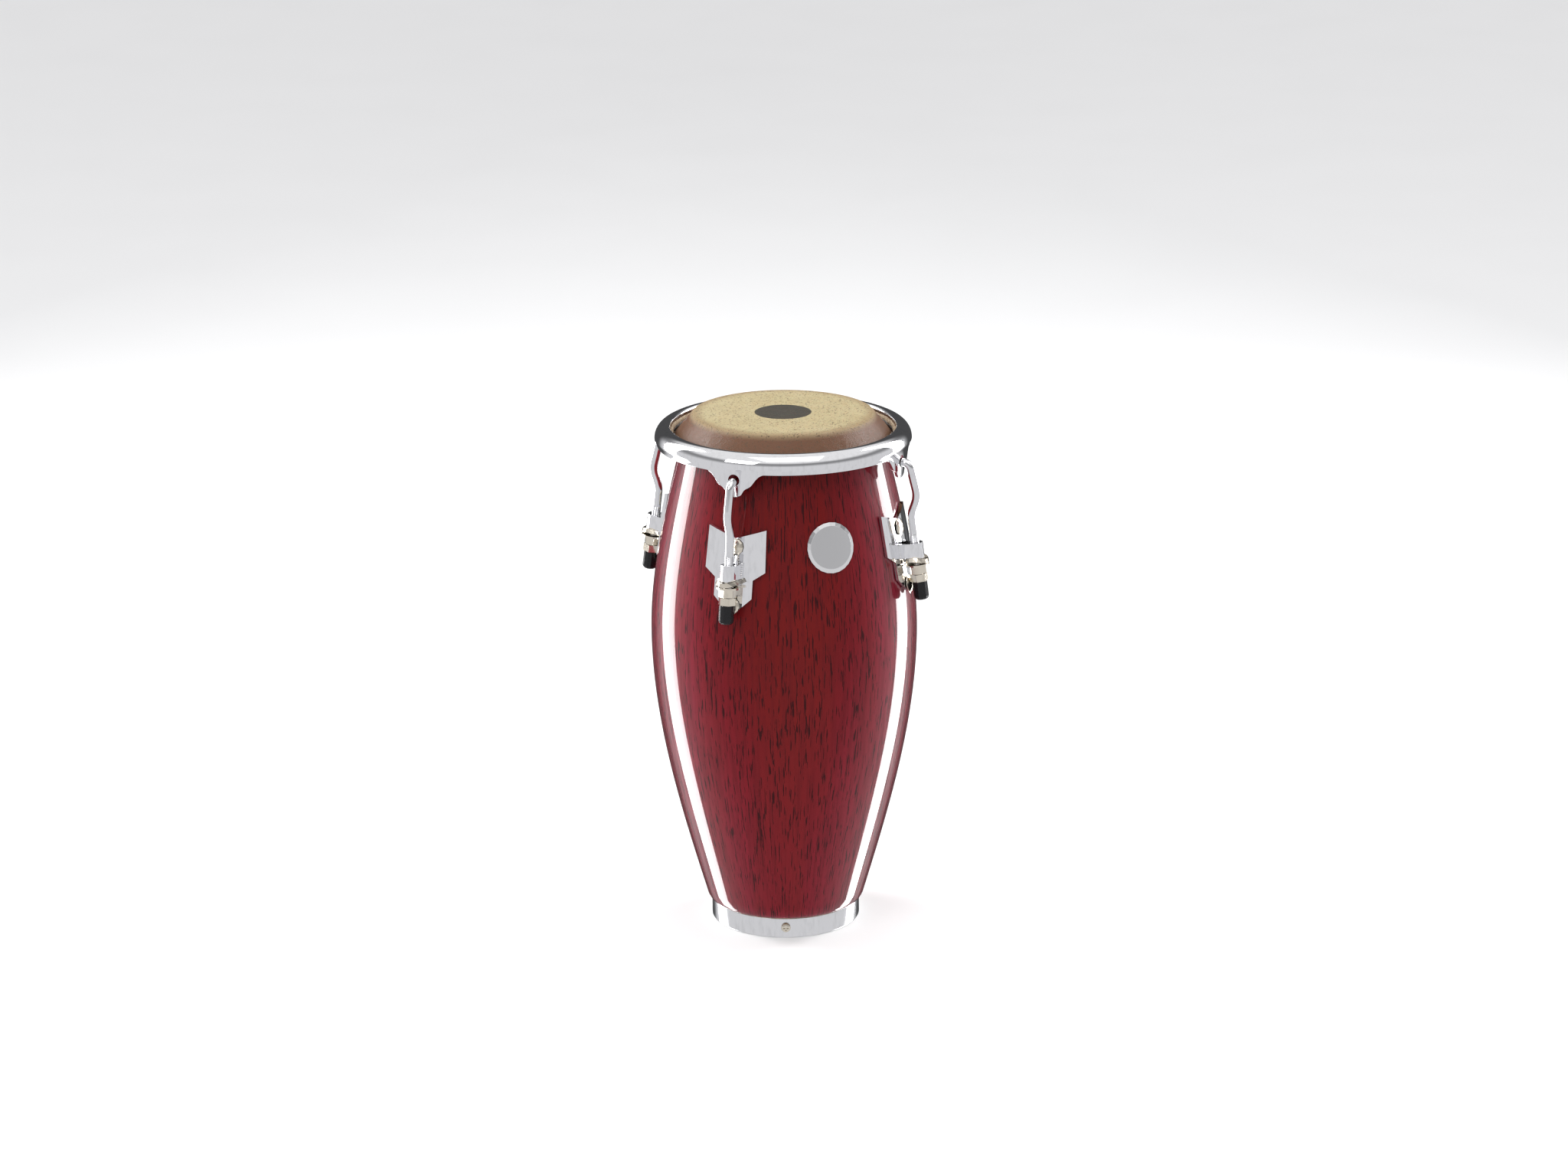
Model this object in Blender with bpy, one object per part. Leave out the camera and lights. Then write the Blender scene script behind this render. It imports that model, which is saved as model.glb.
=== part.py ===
"""Mini conga: a small barrel drum with a tunable skin head.

Metres, +Z up. The origin is the centre of the foot, on the surface the drum stands on.
Azimuth 0 is the front of the drum (-Y); it grows towards the drum's right-hand side (+X).
Each lug is built in its own frame: X points away from the drum's axis, Y along the shell, Z up.
Each hook rod has a frame of its own, with Z up along the lower, threaded stretch of the rod.
"""
import math

import bmesh
import bpy
from mathutils import Matrix, Vector

# Overall sizes
HEIGHT = 0.2794
GAP = 0.0003
AROUND = 48

# Shell: a foot, a belly and a shoulder, joined by smooth curves
BELLY_RADIUS = 0.0706
BELLY_HEIGHT = 0.162
FOOT_RADIUS = 0.0415
FOOT_SLOPE = 0.295
SHOULDER_RADIUS = 0.05415
SHOULDER_DROP = 0.0174
SHOULDER_SLOPE = -0.23
WALL = 0.008
FOOT_EDGE = 0.0009
BEARING_RADIUS = 0.0465
BEARING_LAND = 0.0018
BEARING_INNER_CHAMFER = 0.0012
BEVEL_DEPTH = 0.0110

# Bottom ring and its screws
RING_HEIGHT = 0.0109
RING_RADIUS = 0.0397
RING_SHEET = 0.0020
RING_EDGE = 0.0004
SPIGOT_LIFT = 0.0015
RING_SCREW_COUNT = 3
RING_SCREW_HEIGHT = 0.0059
RING_SCREW_HEAD_RADIUS = 0.0026
RING_SCREW_HEAD_HEIGHT = 0.0015
RING_SCREW_RADIUS = 0.0014
RING_SCREW_DEPTH = 0.0035
CROSS_LENGTH = 0.0030
CROSS_WIDTH = 0.0007
CROSS_DEPTH = 0.0008

# Skin and the flesh hoop that it is lapped round, inside the crown's skirt
SKIN = 0.0010
SKIN_EDGE_RADIUS = 0.0020
HOOP_INSET = 0.0060
HOOP_DROP = 0.0119
HOOP_WIRE_RADIUS = 0.0023
LAP_END_DEGREES = 152.0

# Crown, whose skirt stands out from the shell's shoulder
CROWN_SHEET = 0.0019
CROWN_TOP_DROP = 0.0060
CROWN_ROLL_INSET = 0.0053
CROWN_ROLL_WIDTH = 0.0064
CROWN_ROLL_HEIGHT = 0.0072
CROWN_LIP_WIDTH = 0.0020
CROWN_LIP_HEIGHT = 0.00195
CROWN_REACH = 0.01225
CROWN_DEPTH = 0.0105
SKIRT_BEND = 0.0018
EAR_OUTLINE = ((0.0, 0.0125), (0.0022, 0.0121), (0.0039, 0.0111), (0.0050, 0.0093), (0.0062, 0.0080),
               (0.0090, 0.0063), (0.0113, 0.0033), (0.0134, 0.0011), (0.0158, 0.0))
SKIRT_STEPS = 8
EAR_HOLE_DROP = 0.00355
EAR_HOLE_SLACK = 0.0009

# Lugs
LUG_COUNT = 4
LUG_START_DEGREES = -22.5
LUG_DROP = 0.0674
PLATE_SHEET = 0.0017
PLATE_TOP = 0.0209
PLATE_NOTCH = 0.0160
PLATE_WING_LOW = -0.0006
PLATE_STEM_TOP = -0.0048
PLATE_STEM_LOW = -0.0142
PLATE_TIP = -0.0238
PLATE_TOP_HALF = 0.0156
PLATE_WING_HALF = 0.0164
PLATE_STEM_HALF = 0.0103
PLATE_COLUMN = 0.0055
STRAP_SHEET = 0.0017
STRAP_HEIGHT = 0.0085
STRAP_STEPS = 8
SADDLE_RADIUS = 0.0100

# Hook rods, in the lug's frame; the ear face and the hole set where the hook starts
ROD_RADIUS = 0.0022
ROD_CLEARANCE = 0.00035
ROD_STANDOFF = 0.0092
ROD_TILT_DEGREES = 8.0
THREAD_PITCH = 0.0008
HOOK_INSIDE = 0.0030
HOOK_TOP_REACH = 0.0042
HOOK_TOP_BEND = 0.0045
HOOK_BEND_OUT = 0.0089
HOOK_BEND_DROP = 0.01765
HOOK_LOW_DROP = 0.02765
HOOK_SIDE_BEND = 0.0130
HOOK_ARC_STEPS = 5
ROD_TAIL = 0.0065

# Washers, nuts and cap on the rod
CURVED_WASHER_RADIUS = 0.0062
CURVED_WASHER_SHEET = 0.0022
FLAT_WASHER_RADIUS = 0.0061
FLAT_WASHER_SHEET = 0.0010
NUT_FLATS = 0.0080
NUT_HEIGHT = 0.0039
NUT_TURN_DEGREES = 27.0
LOCK_NUT_TURN_DEGREES = 3.0
CAP_RADIUS = 0.00395
CAP_HEIGHT = 0.0098
CAP_WALL_END = 0.0015
CAP_ROUND = 0.0020

# Lug bolts, with their backing plates and nuts inside the shell
BOLT_HEAD_RADIUS = 0.0045
BOLT_HEAD_HEIGHT = 0.0016
BOLT_HEAD_RIM = 0.0005
BOLT_RADIUS = 0.0020
BOLT_TAIL = 0.0012
UPPER_BOLT_RISE = 0.0113
LOWER_BOLT_RISE = -0.0187
BACKING_SHEET = 0.0012
BACKING_HALF = 0.0065
BACKING_MARGIN = 0.0065
BOLT_NUT_FLATS = 0.0070
BOLT_NUT_HEIGHT = 0.0030

# Badge
BADGE_DEGREES = 22.5
BADGE_HEIGHT = 0.2225
BADGE_RADIUS = 0.0129
BADGE_SHEET = 0.0012
BADGE_BEVEL = 0.0017
BADGE_BEVEL_DROP = 0.0006

# Sides of small round pieces and samples along the shell's curves
ROUND_SIDES = 16
SMALL_SIDES = 12
CURVE_STEPS = 6
INNER_STEPS = 4
SEAT_SIDES = 24

SHELL_FOOT = RING_HEIGHT + GAP
SHELL_TOP = HEIGHT - SKIN - GAP
SHOULDER_HEIGHT = HEIGHT - SHOULDER_DROP
LUG_HEIGHT = HEIGHT - LUG_DROP
CROWN_SKIRT_RADIUS = SHOULDER_RADIUS + CROWN_REACH
CROWN_ROLL_RADIUS = CROWN_SKIRT_RADIUS - CROWN_ROLL_INSET
HOOP_RADIUS = CROWN_SKIRT_RADIUS - HOOP_INSET
HOOP_HEIGHT = HEIGHT - HOOP_DROP
CROWN_TOP = HEIGHT - CROWN_TOP_DROP
ROLL_HEIGHT = CROWN_TOP - CROWN_ROLL_HEIGHT
SKIRT_BOTTOM = CROWN_TOP - CROWN_DEPTH
ROD_TILT = math.radians(ROD_TILT_DEGREES)
EAR_HOLE_RADIUS = ROD_RADIUS + EAR_HOLE_SLACK
EAR_HOLE_HEIGHT = SKIRT_BOTTOM - EAR_HOLE_DROP
HOOK_TOP_HEIGHT = EAR_HOLE_HEIGHT - EAR_HOLE_RADIUS + GAP + ROD_RADIUS


def clear_scene():
    for item in list(bpy.data.objects):
        bpy.data.objects.remove(item, do_unlink=True)


def finish(name, colour, roughness, metallic):
    """Make a material with one Principled BSDF."""
    material = bpy.data.materials.new(name)
    material.use_nodes = True
    shader = material.node_tree.nodes["Principled BSDF"]
    shader.inputs["Base Color"].default_value = (*colour, 1.0)
    shader.inputs["Roughness"].default_value = roughness
    shader.inputs["Metallic"].default_value = metallic
    return material


def add_mesh(name, mesh_data, material, parent=None, local=None, sharp_degrees=35.0):
    """Turn a bmesh into a named object under a parent, placed by a local matrix."""
    bmesh.ops.recalc_face_normals(mesh_data, faces=mesh_data.faces)
    mesh = bpy.data.meshes.new(name)
    mesh_data.to_mesh(mesh)
    mesh_data.free()
    mesh.shade_smooth()
    mesh.set_sharp_from_angle(angle=math.radians(sharp_degrees))
    mesh.materials.append(material)
    piece = bpy.data.objects.new(name, mesh)
    bpy.context.scene.collection.objects.link(piece)
    piece.parent = parent
    if local is not None:
        piece.matrix_local = local
    return piece


def add_empty(name, parent=None, local=None):
    empty = bpy.data.objects.new(name, None)
    empty.empty_display_size = 0.01
    bpy.context.scene.collection.objects.link(empty)
    empty.parent = parent
    if local is not None:
        empty.matrix_local = local
    return empty


def cut(piece, cutter):
    """Cut a cutter's bodies out of a piece."""
    cutter.hide_render = True
    cutter.display_type = 'WIRE'
    modifier = piece.modifiers.new("cut", 'BOOLEAN')
    modifier.operation = 'DIFFERENCE'
    modifier.solver = 'EXACT'
    modifier.object = cutter


def join(piece, other):
    """Weld another body onto a piece."""
    other.hide_render = True
    other.display_type = 'WIRE'
    modifier = piece.modifiers.new("weld", 'BOOLEAN')
    modifier.operation = 'UNION'
    modifier.solver = 'EXACT'
    modifier.object = other


def turned(profile, sides, angles=None):
    """Turn a closed profile of (radius, height) about Z; points on the axis become poles."""
    mesh_data = bmesh.new()
    angles = angles or [2 * math.pi * i / sides for i in range(sides)]
    columns = len(angles)
    rings = []
    for radius, height in profile:
        if radius == 0.0:
            pole = mesh_data.verts.new((0.0, 0.0, height))
            rings.append([pole] * columns)
        else:
            rings.append([mesh_data.verts.new((radius * math.cos(a), radius * math.sin(a), height))
                          for a in angles])
    for ring, following in zip(rings, rings[1:] + rings[:1]):
        for i in range(columns):
            j = (i + 1) % columns
            corners = list(dict.fromkeys((ring[i], ring[j], following[j], following[i])))
            if len(corners) > 2:
                mesh_data.faces.new(corners)
    return mesh_data


def lofted(rings):
    """Join equal rings of points, one after another, and close the first onto the last."""
    mesh_data = bmesh.new()
    loops = [[mesh_data.verts.new(point) for point in ring] for ring in rings]
    for loop, following in zip(loops, loops[1:] + loops[:1]):
        for i in range(len(loop)):
            j = (i + 1) % len(loop)
            mesh_data.faces.new((loop[i], loop[j], following[j], following[i]))
    return mesh_data


def add_tube(mesh_data, start, end, radius, sides):
    """Add a closed cylinder between two points to a bmesh."""
    along = Vector(end) - Vector(start)
    place = Matrix.Translation((Vector(start) + Vector(end)) / 2)
    place = place @ Vector((0, 0, 1)).rotation_difference(along).to_matrix().to_4x4()
    bmesh.ops.create_cone(mesh_data, cap_ends=True, segments=sides, radius1=radius, radius2=radius,
                          depth=along.length, matrix=place)


def azimuth_frame(degrees):
    """The frame of a place on the shell: X away from the axis, Y along the shell, Z up."""
    return Matrix.Rotation(math.radians(degrees - 90.0), 4, 'Z')


def smooth_span(start, start_slope, end, end_slope, height):
    """Radius on a cubic curve between two (height, radius) points with given slopes."""
    length = end[0] - start[0]
    t = (height - start[0]) / length
    bend_in = t * (1 - t) ** 2 * length * start_slope
    bend_out = -t ** 2 * (1 - t) * length * end_slope
    weight = t * t * (3 - 2 * t)
    return start[1] * (1 - weight) + end[1] * weight + bend_in + bend_out


def shell_radius(height):
    """Outer radius of the shell's smooth curve at a height."""
    belly = (BELLY_HEIGHT, BELLY_RADIUS)
    if height <= BELLY_HEIGHT:
        return smooth_span((SHELL_FOOT, FOOT_RADIUS), FOOT_SLOPE, belly, 0.0, height)
    if height <= SHOULDER_HEIGHT:
        return smooth_span(belly, 0.0, (SHOULDER_HEIGHT, SHOULDER_RADIUS), SHOULDER_SLOPE, height)
    return SHOULDER_RADIUS + SHOULDER_SLOPE * (height - SHOULDER_HEIGHT)


def shell_slope(height):
    step = 0.0005
    return (shell_radius(height + step) - shell_radius(height - step)) / (2 * step)


def spread(low, high, steps):
    return [low + (high - low) * i / steps for i in range(steps + 1)]


def make_shell(material):
    bevel_foot = SHELL_TOP - BEVEL_DEPTH
    spigot_radius = RING_RADIUS - RING_SHEET - GAP
    profile = [(spigot_radius, SPIGOT_LIFT), (spigot_radius, SHELL_FOOT)]
    profile += [(FOOT_RADIUS - FOOT_EDGE, SHELL_FOOT), (FOOT_RADIUS, SHELL_FOOT + FOOT_EDGE)]
    lower = spread(SHELL_FOOT + FOOT_EDGE, BELLY_HEIGHT, CURVE_STEPS)[1:]
    upper = spread(BELLY_HEIGHT, bevel_foot, CURVE_STEPS)[1:]
    profile += [(shell_radius(z), z) for z in lower + upper]
    profile += [(BEARING_RADIUS, SHELL_TOP - BEARING_INNER_CHAMFER / 2)]
    profile += [(BEARING_RADIUS - BEARING_LAND / 3, SHELL_TOP)]
    land = BEARING_RADIUS - BEARING_LAND
    profile += [(land, SHELL_TOP)]
    inner_top = SHELL_TOP - BEARING_INNER_CHAMFER
    profile += [(min(shell_radius(inner_top) - WALL, land), inner_top)]
    inner_upper = spread(inner_top, BELLY_HEIGHT, INNER_STEPS + 1)[1:]
    inner_lower = spread(BELLY_HEIGHT, SHELL_FOOT, INNER_STEPS)[1:]
    profile += [(shell_radius(z) - WALL, z) for z in inner_upper + inner_lower]
    profile += [(FOOT_RADIUS - WALL, SPIGOT_LIFT)]
    shell = add_mesh("shell", turned(profile, AROUND), material)
    holes = bmesh.new()
    for degrees in lug_angles():
        place = azimuth_frame(degrees)
        for rise in (UPPER_BOLT_RISE, LOWER_BOLT_RISE):
            seat, outward = bolt_seat(rise)
            start = place @ (seat + outward * (PLATE_SHEET + GAP))
            end = place @ (seat - outward * (WALL * 1.5))
            add_tube(holes, start, end, BOLT_RADIUS + GAP, SMALL_SIDES)
    for degrees in screw_angles():
        place = azimuth_frame(degrees)
        tip = RING_RADIUS - RING_SHEET - GAP - RING_SCREW_DEPTH
        start = place @ Vector((RING_RADIUS, 0.0, RING_SCREW_HEIGHT))
        end = place @ Vector((tip, 0.0, RING_SCREW_HEIGHT))
        add_tube(holes, start, end, RING_SCREW_RADIUS + GAP, SMALL_SIDES)
    cut(shell, add_mesh("shell_cutter", holes, material))


def lug_angles():
    return [LUG_START_DEGREES + 360.0 * k / LUG_COUNT for k in range(LUG_COUNT)]


def screw_angles():
    return [360.0 * k / RING_SCREW_COUNT for k in range(RING_SCREW_COUNT)]


def make_bottom_ring(material):
    inner = RING_RADIUS - RING_SHEET
    profile = [(RING_RADIUS, RING_HEIGHT - RING_EDGE), (RING_RADIUS, RING_EDGE),
               (RING_RADIUS - RING_EDGE, 0.0), (inner, 0.0), (inner, RING_HEIGHT), (RING_RADIUS - RING_EDGE, RING_HEIGHT)]
    ring = add_mesh("bottom_ring", turned(profile, AROUND), material)
    holes = bmesh.new()
    for degrees in screw_angles():
        place = azimuth_frame(degrees)
        start = place @ Vector((RING_RADIUS + RING_SHEET, 0.0, RING_SCREW_HEIGHT))
        end = place @ Vector((inner - RING_SHEET, 0.0, RING_SCREW_HEIGHT))
        add_tube(holes, start, end, RING_SCREW_RADIUS + GAP, SMALL_SIDES)
    cut(ring, add_mesh("ring_cutter", holes, material))


def make_ring_screws(material):
    """Pan-head screws, built along Z with the head up, then laid along the ring's radius."""
    head = RING_SCREW_HEAD_RADIUS
    top = RING_SCREW_HEAD_HEIGHT
    length = RING_SHEET + GAP + RING_SCREW_DEPTH
    profile = [(0.0, top), (head * 0.55, top), (head * 0.88, top * 0.72), (head, top * 0.3), (head, 0.0),
               (RING_SCREW_RADIUS, 0.0), (RING_SCREW_RADIUS, RING_SCREW_RADIUS - length), (0.0, -length)]
    for number, degrees in enumerate(screw_angles(), start=1):
        seat = Vector((RING_RADIUS + GAP, 0.0, RING_SCREW_HEIGHT))
        place = azimuth_frame(degrees) @ Matrix.Translation(seat) @ Matrix.Rotation(math.pi / 2, 4, 'Y')
        screw = add_mesh(f"ring_screw_{number}", turned(profile, SMALL_SIDES), material, local=place)
        recess = bmesh.new()
        long, wide = CROSS_LENGTH / 2, CROSS_WIDTH / 2
        corner = ((long, -wide), (long, wide), (wide, wide))
        cross = [Matrix.Rotation(math.pi / 2 * quarter, 2) @ Vector(point)
                 for quarter in range(4) for point in corner]
        floor = recess.faces.new([recess.verts.new((x, y, top - CROSS_DEPTH)) for x, y in cross])
        raised = bmesh.ops.extrude_face_region(recess, geom=[floor])
        upper = [item for item in raised["geom"] if isinstance(item, bmesh.types.BMVert)]
        bmesh.ops.translate(recess, verts=upper, vec=(0.0, 0.0, 2 * CROSS_DEPTH))
        cut(screw, add_mesh(f"cross_cutter_{number}", recess, material, local=place))


def arc_points(centre, radius, start, end, steps):
    return [(centre[0] + radius * math.cos(a), centre[1] + radius * math.sin(a))
            for a in spread(start, end, steps)]


def make_drumhead(material):
    """The skin: a flat head, a collar over the bearing edge, and a lap round the flesh hoop."""
    middle = HOOP_WIRE_RADIUS + GAP + SKIN / 2
    hoop = Vector((HOOP_RADIUS, HOOP_HEIGHT))
    edge_radius = SKIN_EDGE_RADIUS
    edge = Vector((BEARING_RADIUS + SKIN / 2 + GAP - edge_radius / 2, HEIGHT - SKIN / 2 - edge_radius))
    # The collar runs straight, touching the rounded edge above it and the lap's circle below it.
    across = hoop - edge
    lean = math.atan2(across.y, across.x) - math.asin((edge_radius + middle) / across.length)
    collar_start = math.pi / 2 + lean
    path = [(0.0, HEIGHT - SKIN / 2)]
    sheet_normal = [(0.0, 1.0)]
    for angle in spread(math.pi / 2, collar_start, 3):
        direction = (math.cos(angle), math.sin(angle))
        path.append((edge.x + edge_radius * direction[0], edge.y + edge_radius * direction[1]))
        sheet_normal.append(direction)
    lap_start = collar_start - math.pi
    lap_end = math.radians(LAP_END_DEGREES)
    for angle in spread(lap_start, lap_end, 9):
        direction = (math.cos(angle), math.sin(angle))
        path.append((hoop.x + middle * direction[0], hoop.y + middle * direction[1]))
        sheet_normal.append((-direction[0], -direction[1]))
    half = SKIN / 2
    upper = [(r + half * n[0], z + half * n[1]) for (r, z), n in zip(path, sheet_normal)]
    lower = [(r - half * n[0], z - half * n[1]) for (r, z), n in zip(path, sheet_normal)]
    profile = upper + lower[::-1]
    add_mesh("drumhead", turned(profile, AROUND), material)


def make_flesh_hoop(material):
    section = arc_points((HOOP_RADIUS, HOOP_HEIGHT), HOOP_WIRE_RADIUS, 0.0, 2 * math.pi, 8)[:-1]
    add_mesh("flesh_hoop", turned(section, AROUND), material, sharp_degrees=80.0)


def crown_columns():
    """Azimuths round the crown and how far the edge drops at each: ears between plain skirt."""
    columns = []
    quarter = 360.0 / LUG_COUNT
    ear_half = math.degrees(EAR_OUTLINE[-1][0] / CROWN_SKIRT_RADIUS)
    for centre in lug_angles():
        sides = [(-u, drop) for u, drop in reversed(EAR_OUTLINE[1:])] + list(EAR_OUTLINE)
        for u, drop in sides:
            columns.append((centre + math.degrees(u / CROWN_SKIRT_RADIUS), drop))
        for degrees in spread(centre + ear_half, centre + quarter - ear_half, SKIRT_STEPS)[1:-1]:
            columns.append((degrees, 0.0))
    return columns


def make_crown(material):
    outer_roll = []
    for degrees in (0.0, 35.0, 65.0, 90.0):
        a = math.radians(degrees)
        outer_roll.append((CROWN_ROLL_RADIUS + CROWN_ROLL_WIDTH * math.cos(a),
                           ROLL_HEIGHT + CROWN_ROLL_HEIGHT * math.sin(a)))
    inner_roll = []
    for degrees in (90.0, 45.0, 0.0):
        a = math.radians(degrees)
        inner_roll.append((CROWN_ROLL_RADIUS + (CROWN_ROLL_WIDTH - CROWN_SHEET) * math.cos(a),
                           ROLL_HEIGHT + (CROWN_ROLL_HEIGHT - CROWN_SHEET) * math.sin(a)))
    lip_end = CROWN_ROLL_RADIUS - CROWN_LIP_WIDTH
    lip = [(lip_end + CROWN_LIP_WIDTH * 0.3, CROWN_TOP - CROWN_LIP_HEIGHT * 0.25),
           (lip_end, CROWN_TOP - CROWN_LIP_HEIGHT)]
    bend = SKIRT_BOTTOM + SKIRT_BEND
    inner_radius = CROWN_SKIRT_RADIUS - CROWN_SHEET
    rings = [(CROWN_SKIRT_RADIUS, None), (CROWN_SKIRT_RADIUS, bend)] + outer_roll + lip + inner_roll
    rings += [(inner_radius, bend), (inner_radius, None)]
    loops = []
    for radius, height in rings:
        loop = []
        for degrees, drop in crown_columns():
            z = SKIRT_BOTTOM - drop if height is None else height
            loop.append(azimuth_frame(degrees) @ Vector((radius, 0.0, z)))
        loops.append(loop)
    crown = add_mesh("crown", lofted(loops), material)
    holes = bmesh.new()
    for degrees in lug_angles():
        place = azimuth_frame(degrees)
        start = place @ Vector((CROWN_SKIRT_RADIUS - 2 * CROWN_SHEET, 0.0, EAR_HOLE_HEIGHT))
        end = place @ Vector((CROWN_SKIRT_RADIUS + CROWN_SHEET, 0.0, EAR_HOLE_HEIGHT))
        add_tube(holes, start, end, EAR_HOLE_RADIUS, SMALL_SIDES)
    cut(crown, add_mesh("crown_cutter", holes, material))


def plate_radius(height):
    """Inner face of the lug plate: a straight line laid against the shell at the strap."""
    return shell_radius(LUG_HEIGHT) + GAP + shell_slope(LUG_HEIGHT) * (height - LUG_HEIGHT)


def bolt_seat(rise):
    """A point on the plate's outer face at a bolt, and the plate's outward direction."""
    height = LUG_HEIGHT + rise
    outward = Vector((1.0, 0.0, -shell_slope(LUG_HEIGHT))).normalized()
    return Vector((plate_radius(height), 0.0, height)) + outward * PLATE_SHEET, outward


def bent_sheet(outline, radius_at, sheet, column):
    """Cut a flat outline of (along the shell, height) into columns and bend it round the axis."""
    mesh_data = bmesh.new()
    mesh_data.faces.new([mesh_data.verts.new((0.0, u, z)) for u, z in outline])
    reach = max(u for u, z in outline)
    cuts = int(reach / column)
    for i in range(-cuts, cuts + 1):
        everything = mesh_data.verts[:] + mesh_data.edges[:] + mesh_data.faces[:]
        bmesh.ops.bisect_plane(mesh_data, geom=everything, plane_co=(0.0, i * column, 0.0),
                               plane_no=(0.0, 1.0, 0.0))
    front = bmesh.ops.extrude_face_region(mesh_data, geom=mesh_data.faces[:])
    raised = {item for item in front["geom"] if isinstance(item, bmesh.types.BMVert)}
    for vert in mesh_data.verts:
        along, height = vert.co.y, vert.co.z
        radius = radius_at(height)
        angle = along / radius
        radius += sheet if vert in raised else 0.0
        vert.co = Vector((radius * math.cos(angle), radius * math.sin(angle), height))
    return mesh_data


def rod_point():
    """Where the rod's axis passes the middle of the strap, in the lug's frame."""
    return Vector((shell_radius(LUG_HEIGHT) + ROD_STANDOFF, 0.0, LUG_HEIGHT))


def make_bracket(number, material, lug):
    """Side plate with a U strap welded to it."""
    right = [(PLATE_TOP_HALF, PLATE_TOP), (PLATE_WING_HALF, PLATE_WING_LOW),
             (PLATE_STEM_HALF, PLATE_STEM_TOP), (PLATE_STEM_HALF, PLATE_STEM_LOW)]
    outline = [(0.0, PLATE_NOTCH)] + right + [(0.0, PLATE_TIP)] + [(-u, z) for u, z in reversed(right)]
    outline = [(u, LUG_HEIGHT + z) for u, z in outline]
    plate = bent_sheet(outline, plate_radius, PLATE_SHEET, PLATE_COLUMN)
    bracket = add_mesh(f"lug_bracket_{number}", plate, material, parent=lug)
    weld = (ROD_STANDOFF - GAP - PLATE_SHEET / 2) / math.cos(ROD_TILT)
    inner = ROD_RADIUS + ROD_CLEARANCE
    outer = inner + STRAP_SHEET
    loops = []
    for radius, side in ((outer, 1), (outer, -1), (inner, -1), (inner, 1)):
        path = [(-weld, -radius)] + arc_points((0.0, 0.0), radius, -math.pi / 2, math.pi / 2, STRAP_STEPS)
        path += [(-weld, radius)]
        if side > 0:
            loops.append([Vector((x, y, STRAP_HEIGHT / 2)) for x, y in path])
        else:
            loops.append([Vector((x, y, saddle_height(y))) for x, y in path])
    mesh_data = bmesh.new()
    grid = [[mesh_data.verts.new(point) for point in loop] for loop in loops]
    last = len(grid[0]) - 1
    for loop, following in zip(grid, grid[1:] + grid[:1]):
        for i in range(last):
            mesh_data.faces.new((loop[i], loop[i + 1], following[i + 1], following[i]))
    mesh_data.faces.new([loop[0] for loop in grid])
    mesh_data.faces.new([loop[last] for loop in grid])
    strap = add_mesh(f"strap_body_{number}", mesh_data, material, parent=lug, local=rod_frame())
    join(bracket, strap)
    holes = bmesh.new()
    for rise in (UPPER_BOLT_RISE, LOWER_BOLT_RISE):
        seat, outward = bolt_seat(rise)
        add_tube(holes, seat + outward * PLATE_SHEET, seat - outward * (2 * PLATE_SHEET),
                 BOLT_RADIUS + GAP, SMALL_SIDES)
    cut(bracket, add_mesh(f"bracket_cutter_{number}", holes, material, parent=lug))


def saddle_height(y, offset=0.0):
    """Height under the strap's middle of its curved lower edge, or of a surface below that edge."""
    radius = SADDLE_RADIUS + offset
    return SADDLE_RADIUS - STRAP_HEIGHT / 2 - math.sqrt(radius * radius - y * y)


def rod_frame():
    """The rod's frame inside the lug's frame: Z up along the lower stretch of the rod."""
    return Matrix.Translation(rod_point()) @ Matrix.Rotation(-ROD_TILT, 4, 'Y')


def rounded_path(corners, bends, steps):
    """Straight runs between corners, with each inner corner rounded to its own radius."""
    points = [corners[0]]
    for before, corner, after, radius in zip(corners, corners[1:], corners[2:], bends):
        back = (before - corner).normalized()
        ahead = (after - corner).normalized()
        half = back.angle(ahead) / 2
        centre = corner + (back + ahead).normalized() * (radius / math.sin(half))
        first = corner + back * (radius / math.tan(half)) - centre
        last = corner + ahead * (radius / math.tan(half)) - centre
        for i in range(steps + 1):
            points.append(centre + first.slerp(last, i / steps) * radius)
    points.append(corners[-1])
    return points


def make_hook(number, material, lug, rod):
    """A bent rod from inside the ear's hole down to the tail inside the cap."""
    ear = CROWN_SKIRT_RADIUS
    to_rod = rod_frame().inverted()
    low = HOOK_TOP_HEIGHT - HOOK_LOW_DROP
    low_reach = rod_point().x + (LUG_HEIGHT - low) * math.tan(ROD_TILT)
    corners = [Vector((ear - CROWN_SHEET - HOOK_INSIDE, 0.0, HOOK_TOP_HEIGHT)),
               Vector((ear + HOOK_TOP_REACH, 0.0, HOOK_TOP_HEIGHT)),
               Vector((ear + HOOK_BEND_OUT, 0.0, HOOK_TOP_HEIGHT - HOOK_BEND_DROP)),
               Vector((low_reach, 0.0, low))]
    corners = [to_rod @ corner for corner in corners]
    corners.append(Vector((0.0, 0.0, cap_top() - ROD_TAIL)))
    bends = (HOOK_TOP_BEND, HOOK_SIDE_BEND, HOOK_SIDE_BEND)
    path = rounded_path(corners, bends, HOOK_ARC_STEPS)
    curve = bpy.data.curves.new(f"hook_{number}", 'CURVE')
    curve.dimensions = '3D'
    curve.bevel_depth = ROD_RADIUS
    curve.bevel_resolution = 2
    curve.use_fill_caps = True
    spline = curve.splines.new('POLY')
    spline.points.add(len(path) - 1)
    for point, place in zip(spline.points, path):
        point.co = (*place, 1.0)
    curve.materials.append(material)
    hook = bpy.data.objects.new(f"hook_{number}", curve)
    bpy.context.scene.collection.objects.link(hook)
    hook.parent = rod


def curved_washer_bottom():
    return saddle_height(0.0, GAP + CURVED_WASHER_SHEET)


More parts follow.
